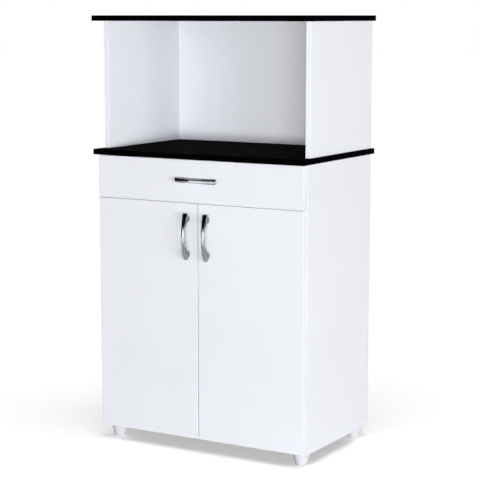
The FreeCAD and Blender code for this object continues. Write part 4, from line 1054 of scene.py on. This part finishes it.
def make_reflectors(studio):
    """A dark board on the left, a white one in front of it and a grey card on the floor."""
    make_reflector("dark_board", standing_corners(*DARK_BOARD), studio.flag_colour)
    make_reflector("white_board", standing_corners(*WHITE_BOARD), [studio.soft_box] * 3)
    make_reflector("grey_card", lying_corners(*GREY_CARD), studio.card_colour)


def make_lamp(name, kind, energy, place, target):
    """A lamp at a place, turned to a target."""
    lamp = bpy.data.lights.new(name, kind)
    lamp.energy = energy
    holder = placed(name, lamp)
    holder.location = place
    holder.rotation_euler = (Vector(target) - Vector(place)).to_track_quat("-Z", "Y").to_euler()
    return holder


def round_place(distance, degrees, height):
    """A place round the object, by its turn to the right from straight in front."""
    turn = math.radians(degrees)
    return Vector((distance * math.sin(turn), -distance * math.cos(turn), height))


def receivers(name, floor, state):
    """What a lamp falls on: the floor alone, or all but the floor."""
    group = bpy.data.collections.new(name)
    group.objects.link(floor)
    group.collection_objects[0].light_linking.link_state = state
    return group


def make_lamps(studio, floor):
    """Broad suns for the floor alone, and a sun overhead and soft boxes for the object alone."""
    spared = receivers("spared by the fills", floor, "EXCLUDE")
    alone = receivers("floor alone", floor, "INCLUDE")
    far = studio.fill_distance
    overhead = make_lamp("overhead", "SUN", studio.overhead, (0.0, 0.0, far), ORIGIN)
    overhead.data.angle = studio.overhead_spread
    overhead.light_linking.receiver_collection = spared
    overhead.visible_glossy = False
    out = far * math.cos(studio.floor_fill_rise)
    up = far * math.sin(studio.floor_fill_rise)
    for name, degrees in FLOOR_TURNS.items():
        broad = make_lamp(name, "SUN", getattr(studio, name), round_place(out, degrees, up), ORIGIN)
        broad.data.angle = studio.floor_fill_spread
        broad.light_linking.receiver_collection = alone
    aim = (0.0, 0.0, studio.fill_height)
    for name, degrees in FILL_TURNS.items():
        place = round_place(far, degrees, studio.fill_height)
        soft = make_lamp(name, "AREA", getattr(studio, name), place, aim)
        soft.data.shape = "RECTANGLE"
        soft.data.size = studio.fill_width
        soft.data.size_y = studio.fill_tall
        soft.light_linking.receiver_collection = spared
        soft.visible_glossy = False
        soft.visible_camera = False


def make_camera(studio):
    """The camera, at the photograph's viewing angle."""
    camera = bpy.data.cameras.new("camera")
    camera.sensor_width = studio.sensor
    camera.lens = studio.lens
    holder = placed("camera", camera)
    holder.location = studio.camera_place
    holder.rotation_euler = (math.pi / 2 - studio.camera_dip, 0.0, studio.camera_turn)
    bpy.context.scene.camera = holder


class CABINET_OT_stage(bpy.types.Operator):
    """Set up the floor, the light and the camera"""

    bl_idname = "cabinet.stage"
    bl_label = "Set up studio"

    def execute(self, context):
        studio = context.scene.cabinet_studio
        floor = make_floor(studio)
        make_sky(studio)
        make_lamps(studio, floor)
        make_reflectors(studio)
        make_camera(studio)
        context.scene.view_settings.view_transform = "Standard"
        return {"FINISHED"}


OPERATORS = (
    CABINET_OT_boards,
    CABINET_OT_fittings,
    CABINET_OT_gussets,
    CABINET_OT_screws,
    CABINET_OT_caps,
    CABINET_OT_nails,
    CABINET_OT_stage,
)


class CABINET_PT_sidebar(bpy.types.Panel):
    """Steps and settings of the cabinet"""

    bl_idname = "CABINET_PT_sidebar"
    bl_label = "Microwave cabinet"
    bl_space_type = "VIEW_3D"
    bl_region_type = "UI"
    bl_category = "Cabinet"

    def draw(self, context):
        for operator in OPERATORS:
            self.layout.operator(operator.bl_idname)
        for name, group in SETTINGS.items():
            box = self.layout.box()
            for setting in group.__annotations__:
                box.prop(getattr(context.scene, name), setting)


CLASSES = (*SETTINGS.values(), *OPERATORS, CABINET_PT_sidebar)


def register():
    """Make the settings, the steps and the panel known."""
    for each in CLASSES:
        bpy.utils.register_class(each)
    for name, group in SETTINGS.items():
        setattr(bpy.types.Scene, name, PointerProperty(type=group))


def unregister():
    """Take away what register made known."""
    for name in SETTINGS:
        delattr(bpy.types.Scene, name)
    for each in reversed(CLASSES):
        bpy.utils.unregister_class(each)


def main():
    """Finish the cabinet step by step, and keep its sizes."""
    register()
    bpy.ops.cabinet.boards()
    bpy.ops.cabinet.fittings()
    bpy.ops.cabinet.gussets()
    bpy.ops.cabinet.screws()
    bpy.ops.cabinet.caps()
    bpy.ops.cabinet.nails()
    bpy.ops.cabinet.stage()


if __name__ == "__main__":
    main()
